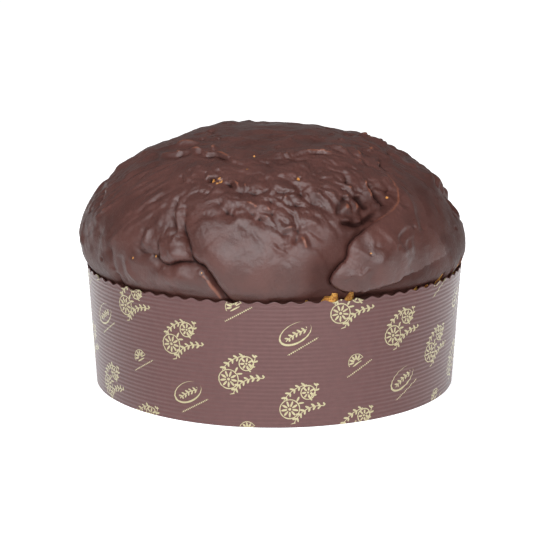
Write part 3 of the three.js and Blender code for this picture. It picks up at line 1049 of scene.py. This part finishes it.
def read_mesh(piece):
    mesh = piece.data
    points = np.zeros(len(mesh.vertices) * 3)
    mesh.vertices.foreach_get("co", points)
    edges = np.zeros(len(mesh.edges) * 2, np.int64)
    mesh.edges.foreach_get("vertices", edges)
    normals = np.zeros(len(mesh.vertices) * 3)
    mesh.vertices.foreach_get("normal", normals)
    return points.reshape(-1, 3) / MM, normals.reshape(-1, 3), edges.reshape(-1, 2)


def on_clay(values):
    """Values of the clay points, followed by zeros for the lining."""
    return np.append(values, np.zeros(count - outer_count))


points, normals, edges = read_mesh(coating)
count = len(points)
THIN_EDGES = [
    (FOLD_TOP, 0.8),
    ([(-18.2, 85.8), (-16.8, 88), (-15.7, 90.4), (-15.2, 92.4)], 1.1),
    (SLIT, 1.2),
    ([(8.4, 73.6), (8.8, 75.6), (9.8, 77.8)], 1.1),
    ([(22, 39.6), (28, 40.6), (34, 42.6)], 0.9),
]
near_mean = averaged(points, edges, count)
for _ in range(5):
    near_mean = averaged(near_mean, edges, count)
stands_out = ((points - near_mean) * normals).sum(1)
for _ in range(8):
    near_mean = averaged(near_mean, edges, count)
hollow_shade = ((near_mean - points) * normals).sum(1)

CRUMB_SPOTS = [
    (-24.0, 55.3, 1.1), (-21.2, 54.6, 0.9), (-20.2, 55.8, 1.0), (-20.8, 56.9, 0.8), (10.5, 54.5, 1.1),
    (-10, 41, 0.7), (-11, 49.5, 0.6), (-34.8, 81.6, 0.7), (-42, 83, 0.7), (-19.3, 84.7, 0.6),
    (27, 80, 0.6), (42, 64.6, 0.9), (128, 62, 0.9), (-150, 58, 1.0), (171, 70, 0.8), (92, 40, 0.8),
]
crumb = np.zeros(count)
for spot_turn, spot_tilt, spot_size in CRUMB_SPOTS:
    spot = on_dome(np.array(spot_turn), np.array(spot_tilt))
    away = points - spot
    level = heading(spot_turn, spot_tilt)
    flat_away = np.linalg.norm(away - (away @ level)[:, None] * level, axis=1)
    round_spot = 1 - smooth(flat_away, 0.6 * spot_size, 1.3 * spot_size)
    crumb = np.maximum(crumb, round_spot * (np.abs(away @ level) < 9))
dragged = on_clay(np.linalg.norm(slide, axis=1))[:, None]
for _ in range(6):
    dragged = np.maximum(dragged, averaged(dragged, edges, count))
thin = np.clip((stands_out - 0.30) / 0.5, 0, 1) * (1 - smooth(dragged[:, 0], 0.05, 0.4))
thin[near_stroke(FOLD_EDGE, 12)[0]] = 0
for points_along, line in THIN_EDGES:
    near, away, share, _ = near_stroke(points_along, 3 * line)
    thin[near] = np.maximum(thin[near], tapered(share) * np.exp(-((away / line) ** 2)))
add_attribute(coating, "thin", thin)
# How far a point lies in a crease sets the painted shade that darkens its colour. The crevice's clefts get
# extra painted shade, deeper than the mesh can hold.
hollow_shade = np.clip(hollow_shade - 0.3, 0, 1)
for points_along, cleft_depth, _, _ in CLEFTS:
    near, away, share, _ = near_stroke(points_along, 5)
    cleft_shade = min(1, cleft_depth / 4) * tapered(share) * np.exp(-((away / 1.9) ** 2))
    hollow_shade[near] = np.maximum(hollow_shade[near], cleft_shade)
hollow_shade[outer_count:] = 0
add_attribute(coating, "hollow_shade", hollow_shade)
add_attribute(coating, "crumb", crumb)
# This mask makes the coating duller and less glossy, and it also darkens its colour a little as painted
# shade, most near the rim, left of the big fold and on the lower flanks.
matte = 0.5 * smooth(tilt, 88, 92) + 0.6 * area(15, 83, 9, 8)
matte += 0.35 * smooth(noise_at(ground, 15, 2, 52.0), 0.1, 0.6)
matte += 0.7 * area(-66, 86, 24, 9) + 0.8 * area(74, 74, 18, 16) + 0.7 * area(74, 87, 28, 8)
matte += 0.3 * area(30, 66, 10, 8) - 0.5 * area(-12, 78, 14, 12)
near, away, _, _ = near_stroke(FOLD_EDGE, 26)
matte[near] += np.where(away < 0, np.exp(-((away / 13) ** 2)), -0.5)
add_attribute(coating, "matte", on_clay(np.clip(matte, 0, 1)))
add_attribute(coating, "crumpled", on_clay(rough))
print((thin > 0.5).sum(), "thin and", (hollow_shade > 0.5).sum(), "sunken points of", outer_count)

# %% [markdown]
# ## Chocolate
#
# Set chocolate is a dark, warm brown under a satin gloss. The gloss comes from the shader's own specular
# layer at a middling roughness, so wide highlights spread over the lobes. Colour and roughness vary in
# soft blotches. Thin edges turn reddish. Creases and hollows get painted shade: their colour is drawn
# towards a near-black, and they lose their gloss. The matte areas are duller, and their colour gets a
# little painted shade too, most near the rim and left of the big fold. The crumbs have ragged outlines.
# A coarse bump wrinkles the crumpled areas, and a very fine one keeps the highlights from looking like
# plastic.

# %% Chocolate material
CHOCOLATE_DARK = (0.0530, 0.0191, 0.0150, 1)
CHOCOLATE_WARM = (0.0720, 0.0257, 0.0200, 1)
CHOCOLATE_THIN = (0.190, 0.062, 0.032, 1)
# The near-black colour of the painted shade in creases and hollows.
CHOCOLATE_PAINTED_SHADE = (0.012, 0.0046, 0.0039, 1)
CRUMB_GOLD = (0.42, 0.185, 0.050, 1)

chocolate, tree, shader, place = new_material("chocolate", IOR=1.5)
patches = use_group(tree, mottle, Place=place, Blotch=70.0, Grain=1500.0)
streaks = cloudy(tree, place, 260.0, 3.0, 1.2)
thin = attribute(tree, "thin")
hollow_shade = attribute(tree, "hollow_shade")
matte = attribute(tree, "matte")
ragged = maths(tree, "MULTIPLY_ADD", cloudy(tree, place, 900.0, 2.0), 1.6, -0.8)
crumb_spots = ramp(tree, maths(tree, "ADD", attribute(tree, "crumb"), ragged), 0.45, 0.75)
body_colour = mix(tree, patches["Blotches"], CHOCOLATE_DARK, CHOCOLATE_WARM)
reddened = maths(tree, "MULTIPLY", ramp(tree, thin, 0.45, 1.0), 0.6)
edge_colour = mix(tree, reddened, body_colour, CHOCOLATE_THIN)
lost_light = maths(tree, "MULTIPLY", ramp(tree, hollow_shade, 0, 1, 1.0, 0.12), ramp(tree, matte, 0, 1, 1.0, 0.32))
# Painted shade: creases, hollows and clefts, and a little the dull areas, are drawn towards a near-black
# colour, less so on thin edges.
shaded = maths(tree, "MAXIMUM", ramp(tree, hollow_shade, 0, 1, 0, 0.92), maths(tree, "MULTIPLY", matte, 0.3))
shaded = maths(tree, "MULTIPLY", shaded, ramp(tree, thin, 0.3, 1, 1.0, 0.35))
painted_shade_colour = mix(tree, shaded, edge_colour, CHOCOLATE_PAINTED_SHADE)
wire(tree, mix(tree, crumb_spots, painted_shade_colour, CRUMB_GOLD), shader.inputs["Base Color"])
wire(tree, maths(tree, "MULTIPLY", lost_light, 0.42), shader.inputs["Specular IOR Level"])
satin = ramp(tree, patches["Blotches"], 0, 1, 0.32, 0.41)
satin = maths(tree, "ADD", satin, ramp(tree, streaks, 0.3, 0.7, -0.05, 0.05))
dull = maths(tree, "ADD", maths(tree, "MULTIPLY", crumb_spots, 0.4), maths(tree, "MULTIPLY", matte, 0.18))
wire(tree, maths(tree, "ADD", satin, dull), shader.inputs["Roughness"])
waves = cloudy(tree, place, 120.0, 2.0, 0.4)
wrinkles = maths(tree, "ABSOLUTE", maths(tree, "MULTIPLY_ADD", waves, 4.0, -2.0))
wrinkles = maths(tree, "MULTIPLY", wrinkles, ramp(tree, attribute(tree, "crumpled"), 0.0, 1.0, 0.3, 1.0))
coarse_bump = bumped(tree, wrinkles, 0.6, 0.0006)
relief = maths(tree, "ADD", maths(tree, "MULTIPLY", patches["Grain"], 0.25), streaks)
wire(tree, bumped(tree, relief, 0.7, 0.0003, Normal=coarse_bump), shader.inputs["Normal"])
coating.data.materials.append(chocolate)
print("coating finish:", chocolate.name)

# %% [markdown]
# ## Bread
#
# The loaf fills the case and carries the coating. Only a band of it shows, through the gaps above the rim,
# but the whole loaf is made, because the piece may be seen on its own. Turning a profile round the axis
# gives its body. Noise then gives the crust its swells, and a finer noise opens the torn, holey crumb of
# the band that shows. The bread swells out in each gap and sinks under each hollow of the coating, so that
# it never pokes through.

# %% Turn the loaf
WALL_GAP = 0.4


def wall_radius(z):
    return CASE_RADIUS_FOOT + (CASE_RADIUS_RIM - CASE_RADIUS_FOOT) * z / CASE_HEIGHT


def turned(points, steps):
    """Spins (radius, height) points in millimetres into a surface of revolution."""
    bm = bmesh.new()
    ring = [bm.verts.new((r * MM, 0, z * MM)) for r, z in points]
    line = [bm.edges.new(pair) for pair in zip(ring, ring[1:])]
    bmesh.ops.spin(
        bm, geom=ring + line, cent=(0, 0, 0), axis=(0, 0, 1), angle=2 * math.pi, steps=steps, use_merge=True
    )
    bmesh.ops.remove_doubles(bm, verts=bm.verts[:], dist=1e-6)
    bmesh.ops.recalc_face_normals(bm, faces=bm.faces[:])
    return bm


def side_radius(z):
    return wall_radius(z) - PAPER - WALL_GAP


FOOT_Z = 1.4
TRAY_TOP = tray_high.z
loaf_side = [(0, FOOT_Z), (35, FOOT_Z), (70, FOOT_Z), (98, FOOT_Z), (102.4, FOOT_Z + 1.0), (103.4, 4.2)]
loaf_side += [(side_radius(TRAY_TOP) - 0.9, TRAY_TOP + 0.3), (side_radius(12) - 0.1, TRAY_TOP + 2.2)]
loaf_side += [(side_radius(z), z) for z in (16, 24, 32, 40, 48, 54, 58)]
loaf_side += [(side_radius(z) - 0.6 * (z - 58) / 6, z) for z in (60, 61.5, 63, 64.2)]
BREAD_DEPTH, BAND_DEPTH = 7.4, 2.8
band_tilts = np.linspace(94.8, 84, 26)
cap_tilts = np.linspace(83, 0, 40)
loaf_dome = []
for t in np.concatenate([band_tilts, cap_tilts]):
    deeper = BAND_DEPTH + (BREAD_DEPTH - BAND_DEPTH) * (1 - smooth(t, 84, 89))
    reach = np.interp(t, profile_tilt, profile_reach) - deeper
    loaf_dome.append((reach * math.sin(math.radians(t)), DOME_MIDDLE[2] + reach * math.cos(math.radians(t))))
loaf_dome[-1] = (0, loaf_dome[-1][1])
loaf_bm = turned(loaf_side + loaf_dome, 420)
loaf_points = np.array([v.co for v in loaf_bm.verts]) / MM
out = loaf_points - DOME_MIDDLE * (0, 0, 1)
out[:, 2] *= smooth(loaf_points[:, 2], 60, 80)
out /= np.linalg.norm(out, axis=1)[:, None] + 1e-9
crust = noise_at(loaf_points, 18, 3, 31.0)
holes = noise_at(loaf_points * (1, 1, 1.4), 2.3, 2, 37.0)
band = smooth(loaf_points[:, 2], 64, 67) * (1 - smooth(loaf_points[:, 2], 78, 84))
covered = smooth(loaf_points[:, 2], 10, 14)
loaf_turn = np.degrees(np.arctan2(loaf_points[:, 0], -loaf_points[:, 1]))
bare = np.zeros(len(loaf_points))
in_gap = np.zeros(len(loaf_points))
for spot_turn, spot_wide, spot_lift in BARE_SPOTS:
    away = turn_between(spot_turn, loaf_turn) / spot_wide
    gap_top = on_dome(np.array(float(spot_turn)), np.array(HEM_TILT - spot_lift))[2]
    below = 1 - smooth(loaf_points[:, 2], gap_top - 5, gap_top - 2)
    bare = np.maximum(bare, np.exp(-((away / 1.5) ** 4)))
    in_gap = np.maximum(in_gap, below * np.exp(-((away / 0.85) ** 4)))
sunk = smooth(loaf_points[:, 2], 62, 66) * (1 - 0.6 * in_gap) * hollow_at(loaf_points)
swollen = 1.8 * bare * (1 - smooth(loaf_points[:, 2], 73, 76))
torn_relief = 0.4 * crust + (0.3 + 0.4 * bare) * np.clip(holes + 0.25, -1.2, 0.35)
bulge = band * (swollen + torn_relief) - sunk
bulge -= 0.35 * covered * (1 - band) * np.abs(crust)
for vertex, push in zip(loaf_bm.verts, out * bulge[:, None] * MM):
    vertex.co += Vector(push)
loaf = new_object("panettone_loaf", mesh_from(loaf_bm, "panettone_loaf"))
add_attribute(loaf, "hole", np.clip(-holes * band * 1.6, 0, 1))
add_attribute(loaf, "torn", band)
print(len(loaf.data.polygons), "faces in the loaf")

# %% Bread material
CRUST_BROWN = (0.20, 0.075, 0.022, 1)
CRUST_GOLD = (0.42, 0.17, 0.035, 1)
CRUMB_YELLOW = (0.78, 0.40, 0.095, 1)
# The deep brown of the painted shade in the crumb's holes.
CRUMB_PAINTED_SHADE = (0.34, 0.12, 0.025, 1)

bread, tree, shader, place = new_material(
    "bread", Specular_IOR_Level=0.3, Subsurface_Weight=0.15, Subsurface_Scale=0.002
)
patches = use_group(tree, mottle, Place=place, Blotch=110.0, Grain=1100.0)
crust_colour = mix(tree, patches["Blotches"], CRUST_BROWN, CRUST_GOLD)
crumb_colour = mix(tree, patches["Grain"], CRUST_GOLD, CRUMB_YELLOW)
# The holes of the torn crumb get painted shade: their colour is drawn towards a deep brown.
crumb_colour = mix(tree, attribute(tree, "hole"), crumb_colour, CRUMB_PAINTED_SHADE)
wire(tree, mix(tree, attribute(tree, "torn"), crust_colour, crumb_colour), shader.inputs["Base Color"])
wire(tree, ramp(tree, patches["Grain"], 0, 1, 0.75, 0.95), shader.inputs["Roughness"])
wire(tree, bumped(tree, patches["Grain"], 0.8, 0.0006), shader.inputs["Normal"])
loaf.data.materials.append(bread)
print("loaf finish:", bread.name)

# %% [markdown]
# ## The paper wall
#
# The case is micro-corrugated paper: fine level ribs run right round it. Real ribs catch the light better
# than a bump, and there are only thirty of them, so the profile itself is a wave, and a spin turns it. The
# top edge is cut in shallow scallops. At the back the band's two ends overlap and are glued.

# %% Turn and trim the wall
RIBS = 30
RIB_DEPTH = 0.36
ROWS_PER_RIB = 4
STEPS_PER_SCALLOP = 8
rib_pitch = CASE_HEIGHT / RIBS


def rib_radius(z):
    return wall_radius(z) - RIB_DEPTH / 2 * (1 - math.cos(2 * math.pi * z / rib_pitch))


rows = RIBS * ROWS_PER_RIB
outside = [(rib_radius(CASE_HEIGHT * k / rows), CASE_HEIGHT * k / rows) for k in range(rows + 1)]
inside = [(wall_radius(z) - PAPER, z) for z in (CASE_HEIGHT, CASE_HEIGHT - 2.4, 50, 30, 12, 0)]
wall_bm = turned(outside + inside + outside[:1], SCALLOPS * STEPS_PER_SCALLOP)
SEAM_START, SEAM_STEP = 172.0, 0.45
for vertex in wall_bm.verts:
    x, y, z = vertex.co / MM
    at = math.degrees(math.atan2(x, -y))
    near_top = float(smooth(z, CASE_HEIGHT - 3.2, CASE_HEIGHT))
    vertex.co.z += near_top * SCALLOP_DEPTH / 2 * math.cos(math.radians(at * SCALLOPS)) * MM
    lap = float(smooth(at, SEAM_START, SEAM_START + 0.5))
    wobble = 0.10 * noise.noise(Vector((x, y, z * 0.6)) / 16) - 0.10
    radius = math.hypot(x, y)
    grow = 1 + (wobble - SEAM_STEP * (1 - lap) * float(smooth(at, SEAM_START - 30, SEAM_START))) / radius
    vertex.co.x *= grow
    vertex.co.y *= grow
wall = new_object("ribbed_paper_wall", mesh_from(wall_bm, "ribbed_paper_wall"))
print(len(wall.data.polygons), "faces in the wall")

# %% [markdown]
# ## Gold print
#
# The paper carries a small print in pale gold ink: sprays of leaves with two rosettes, slim ovals, little
# palmettes and dotted lines, all slanting upwards to the right in a regular lattice. Ink has no thickness,
# so it is a mask in the material. The mask is computed where it is needed: the wall is unrolled to a flat
# strip in millimetres, the strip is folded into one cell of the lattice, and each motif is drawn there
# from ellipses and rings.

# %% Drawing tools for the print
LATTICE_A = (33.4, -16.4)
LATTICE_B = (27.0, 52.4)
SLANT = 30.0


def unrolled(tree, place):
    split = node(tree, "ShaderNodeSeparateXYZ", Vector=place).outputs
    angle = maths(tree, "ARCTAN2", split["X"], maths(tree, "MULTIPLY", split["Y"], -1.0))
    middle_radius = (CASE_RADIUS_FOOT + CASE_RADIUS_RIM) / 2
    return maths(tree, "MULTIPLY", angle, middle_radius), maths(tree, "MULTIPLY", split["Z"], 1 / MM)


def lattice_cell(tree, along, up, origin):
    """Folds the strip into one slanted cell: the place in it, and whether the cell is odd."""
    (ax, ay), (bx, by) = LATTICE_A, LATTICE_B
    area_of_cell = ax * by - ay * bx
    x = maths(tree, "SUBTRACT", along, origin[0])
    y = maths(tree, "SUBTRACT", up, origin[1])

    def weighed(p, q):
        return maths(tree, "MULTIPLY_ADD", x, p, maths(tree, "MULTIPLY", y, q))

    i = maths(tree, "ROUND", weighed(by / area_of_cell, -bx / area_of_cell))
    j = maths(tree, "ROUND", weighed(-ay / area_of_cell, ax / area_of_cell))
    x = maths(tree, "SUBTRACT", x, maths(tree, "MULTIPLY_ADD", i, ax, maths(tree, "MULTIPLY", j, bx)))
    y = maths(tree, "SUBTRACT", y, maths(tree, "MULTIPLY_ADD", i, ay, maths(tree, "MULTIPLY", j, by)))
    flat = node(tree, "ShaderNodeCombineXYZ", X=x, Y=y).outputs[0]
    level = node(tree, "ShaderNodeMapping", {"vector_type": "TEXTURE"}, Vector=flat)
    level.inputs["Rotation"].default_value = (0, 0, math.radians(SLANT))
    odd = maths(tree, "ABSOLUTE", maths(tree, "MODULO", maths(tree, "ADD", i, j), 2.0))
    return level.outputs[0], odd


def oval(tree, p, x, y, wide, tall, spin=0.0):
    """1 on the outline of an ellipse, less inside it, more outside."""
    local = node(tree, "ShaderNodeMapping", {"vector_type": "TEXTURE"}, Vector=p)
    local.inputs["Location"].default_value = (x, y, 0)
    local.inputs["Rotation"].default_value = (0, 0, math.radians(spin))
    local.inputs["Scale"].default_value = (wide, tall, 1)
    return length_of(tree, local.outputs[0])


def blot(tree, p, *shape):
    return maths(tree, "LESS_THAN", oval(tree, p, *shape), 1.0)


def hoop(tree, p, x, y, radius, line):
    return maths(tree, "COMPARE", oval(tree, p, x, y, radius, radius), 1.0, line / radius)


def round_about(tree, p, x, y, copies):
    """Folds the plane like a paper snowflake: what is drawn on the +X side repeats round the centre."""
    moved = node(tree, "ShaderNodeVectorMath", {"operation": "SUBTRACT"}, Vector=p)
    moved.inputs[1].default_value = (x, y, 0)
    split = node(tree, "ShaderNodeSeparateXYZ", Vector=moved.outputs[0]).outputs
    radius = length_of(tree, moved.outputs[0])
    angle = maths(tree, "ARCTAN2", split["Y"], split["X"])
    folded = maths(tree, "WRAP", angle, math.pi / copies, -math.pi / copies)
    return node(
        tree,
        "ShaderNodeCombineXYZ",
        X=maths(tree, "MULTIPLY", radius, maths(tree, "COSINE", folded)),
        Y=maths(tree, "MULTIPLY", radius, maths(tree, "SINE", folded)),
    ).outputs[0]


def union(tree, *masks):
    joined = masks[0]
    for mask in masks[1:]:
        joined = maths(tree, "MAXIMUM", joined, mask)
    return joined


def both(tree, first, second):
    return maths(tree, "MULTIPLY", first, second)


def dotted_line(tree, p, y, half, pitch=1.2, size=0.42):
    split = node(tree, "ShaderNodeSeparateXYZ", Vector=p).outputs
    x = maths(tree, "WRAP", split["X"], pitch / 2, -pitch / 2)
    dot = blot(tree, node(tree, "ShaderNodeCombineXYZ", X=x, Y=split["Y"]).outputs[0], 0, y, size, size)
    return both(tree, dot, maths(tree, "LESS_THAN", maths(tree, "ABSOLUTE", split["X"]), half))


# %% The motifs
def rosette(tree, p, x, y, petals, size):
    spokes = round_about(tree, p, x, y, petals)
    petal = blot(tree, spokes, 0.57 * size, 0, 0.31 * size, 0.95 * size / petals)
    return union(tree, petal, hoop(tree, p, x, y, size, 0.30), blot(tree, p, x, y, 0.15 * size, 0.15 * size))


def garland(tree, p, x, y, radius, copies, leaf, within):
    """Leaves on a bent stem, drawn round a far centre and kept only inside an ellipse."""
    spokes = round_about(tree, p, x, y, copies)
    leaves = union(
        tree,
        blot(tree, spokes, radius + 0.9, 0.2, leaf * 0.42, leaf, -48),
        blot(tree, spokes, radius - 0.9, -0.2, leaf * 0.42, leaf, 48),
        hoop(tree, p, x, y, radius, 0.22),
    )
    return both(tree, leaves, blot(tree, p, *within))


def spray(tree, p):
    return union(
        tree,
        rosette(tree, p, -7.4, -0.4, 9, 5.4),
        rosette(tree, p, 5.8, 2.6, 7, 3.9),
        garland(tree, p, 0, -20, 14.6, 30, 1.35, (0.5, -6.6, 13.2, 3.4)),
        garland(tree, p, 1, -9, 17.0, 34, 1.25, (-0.6, 7.2, 8.0, 3.6)),
        garland(tree, p, 3, 10, 11.0, 22, 1.15, (9.2, 0.2, 4.6, 6.2)),
        blot(tree, p, -0.8, 2.2, 1.5, 0.55, 35),
        blot(tree, p, -0.4, -0.6, 1.6, 0.5, -25),
    )


def slim_oval(tree, p):
    ring = both(
        tree,
        blot(tree, p, 0, 1.8, 9.4, 5.6),
        maths(tree, "GREATER_THAN", oval(tree, p, 0.5, 2.1, 8.9, 5.0), 1.0),
    )
    sprig = garland(tree, p, 0, -20, 21.6, 56, 1.15, (0, 1.9, 7.0, 3.0))
    return union(tree, ring, sprig, dotted_line(tree, p, -6.6, 9.4))


def palmette(tree, p):
    spokes = round_about(tree, p, 0, -0.4, 11)
    leaves = union(
        tree,
        blot(tree, spokes, 2.7, 0, 1.5, 0.55),
        hoop(tree, p, 0, -0.4, 4.5, 0.2),
    )
    split = node(tree, "ShaderNodeSeparateXYZ", Vector=p).outputs
    fan = both(tree, leaves, maths(tree, "GREATER_THAN", split["Y"], -0.5))
    return union(tree, fan, blot(tree, p, 0, -1.5, 3.0, 0.4), dotted_line(tree, p, -5.0, 8.4))


def build_print():
    group, given, result = new_group("gold_print", [("Place", VECTOR, None)], [("Ink", FLOAT)])
    along, up = unrolled(group, given["Place"])
    spray_cell, _ = lattice_cell(group, along, up, (-18.7, 31.0))
    small_cell, odd = lattice_cell(group, along, up, (-15.0, -1.0))
    small = maths(group, "SUBTRACT", 1.0, odd)
    oval_ink = both(group, slim_oval(group, small_cell), odd)
    palmette_ink = both(group, palmette(group, small_cell), small)
    ink = union(group, spray(group, spray_cell), oval_ink, palmette_ink)
    wire(group, ink, result["Ink"])
    return group


gold_print = build_print()
print(len(gold_print.nodes), "nodes in the print")

# %% [markdown]
# ## Paper
#
# The paper is brown, varnished to a satin finish, and it turns pale where it is seen edge-on: that is
# the varnish reflecting the studio, which the shader's coat does by itself. The pale gold ink is a little
# smoother than the paper and slightly metallic.

# %% Paper materials
PAPER_BROWN = (0.090, 0.0350, 0.0325, 1)
PAPER_DEEP = (0.076, 0.0288, 0.0262, 1)
INK_GOLD = (0.40, 0.355, 0.205, 1)

printed_paper, tree, shader, place = new_material(
    "printed_paper", Specular_IOR_Level=0.33, Coat_Weight=0.58, Coat_Roughness=0.24, Coat_IOR=1.33
)
fibres = use_group(tree, mottle, Place=place, Blotch=320.0, Grain=2600.0)
ink = use_group(tree, gold_print, Place=place)["Ink"]
worn_ink = maths(tree, "MULTIPLY", ink, ramp(tree, fibres["Grain"], 0.0, 0.5, 0.8, 1.0))
brown = mix(tree, maths(tree, "MULTIPLY", fibres["Blotches"], 0.5), PAPER_BROWN, PAPER_DEEP)
wire(tree, mix(tree, worn_ink, brown, INK_GOLD), shader.inputs["Base Color"])
wire(tree, maths(tree, "MULTIPLY", ink, 0.35), shader.inputs["Metallic"])
wire(tree, ramp(tree, fibres["Grain"], 0, 1, 0.46, 0.58), shader.inputs["Roughness"])
wire(tree, bumped(tree, fibres["Grain"], 0.4, 0.0001), shader.inputs["Normal"])
wall.data.materials.append(printed_paper)

plain_paper, tree, shader, place = new_material("plain_paper", Specular_IOR_Level=0.3)
fibres = use_group(tree, mottle, Place=place, Blotch=160.0, Grain=2200.0)
wire(tree, mix(tree, fibres["Blotches"], PAPER_BROWN, PAPER_DEEP), shader.inputs["Base Color"])
wire(tree, ramp(tree, fibres["Grain"], 0, 1, 0.68, 0.82), shader.inputs["Roughness"])
wire(tree, bumped(tree, fibres["Grain"], 0.6, 0.00015), shader.inputs["Normal"])
tray = nodes["paper_case_tray"]
tray.data.materials.clear()
tray.data.materials.append(plain_paper)
print("paper finishes:", printed_paper.name, "and", plain_paper.name)

# %% [markdown]
# ## Join the frame
#
# Each new piece rides on the one body and stands for its measured solid, which is hidden.

# %% Ride and replace
for piece, stands_for, finish in [
    (coating, "chocolate_coating", "chocolate"),
    (loaf, "panettone_bread", "bread"),
    (wall, "paper_case_wall", "printed_paper"),
]:
    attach(piece, "root")
    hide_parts(stands_for)
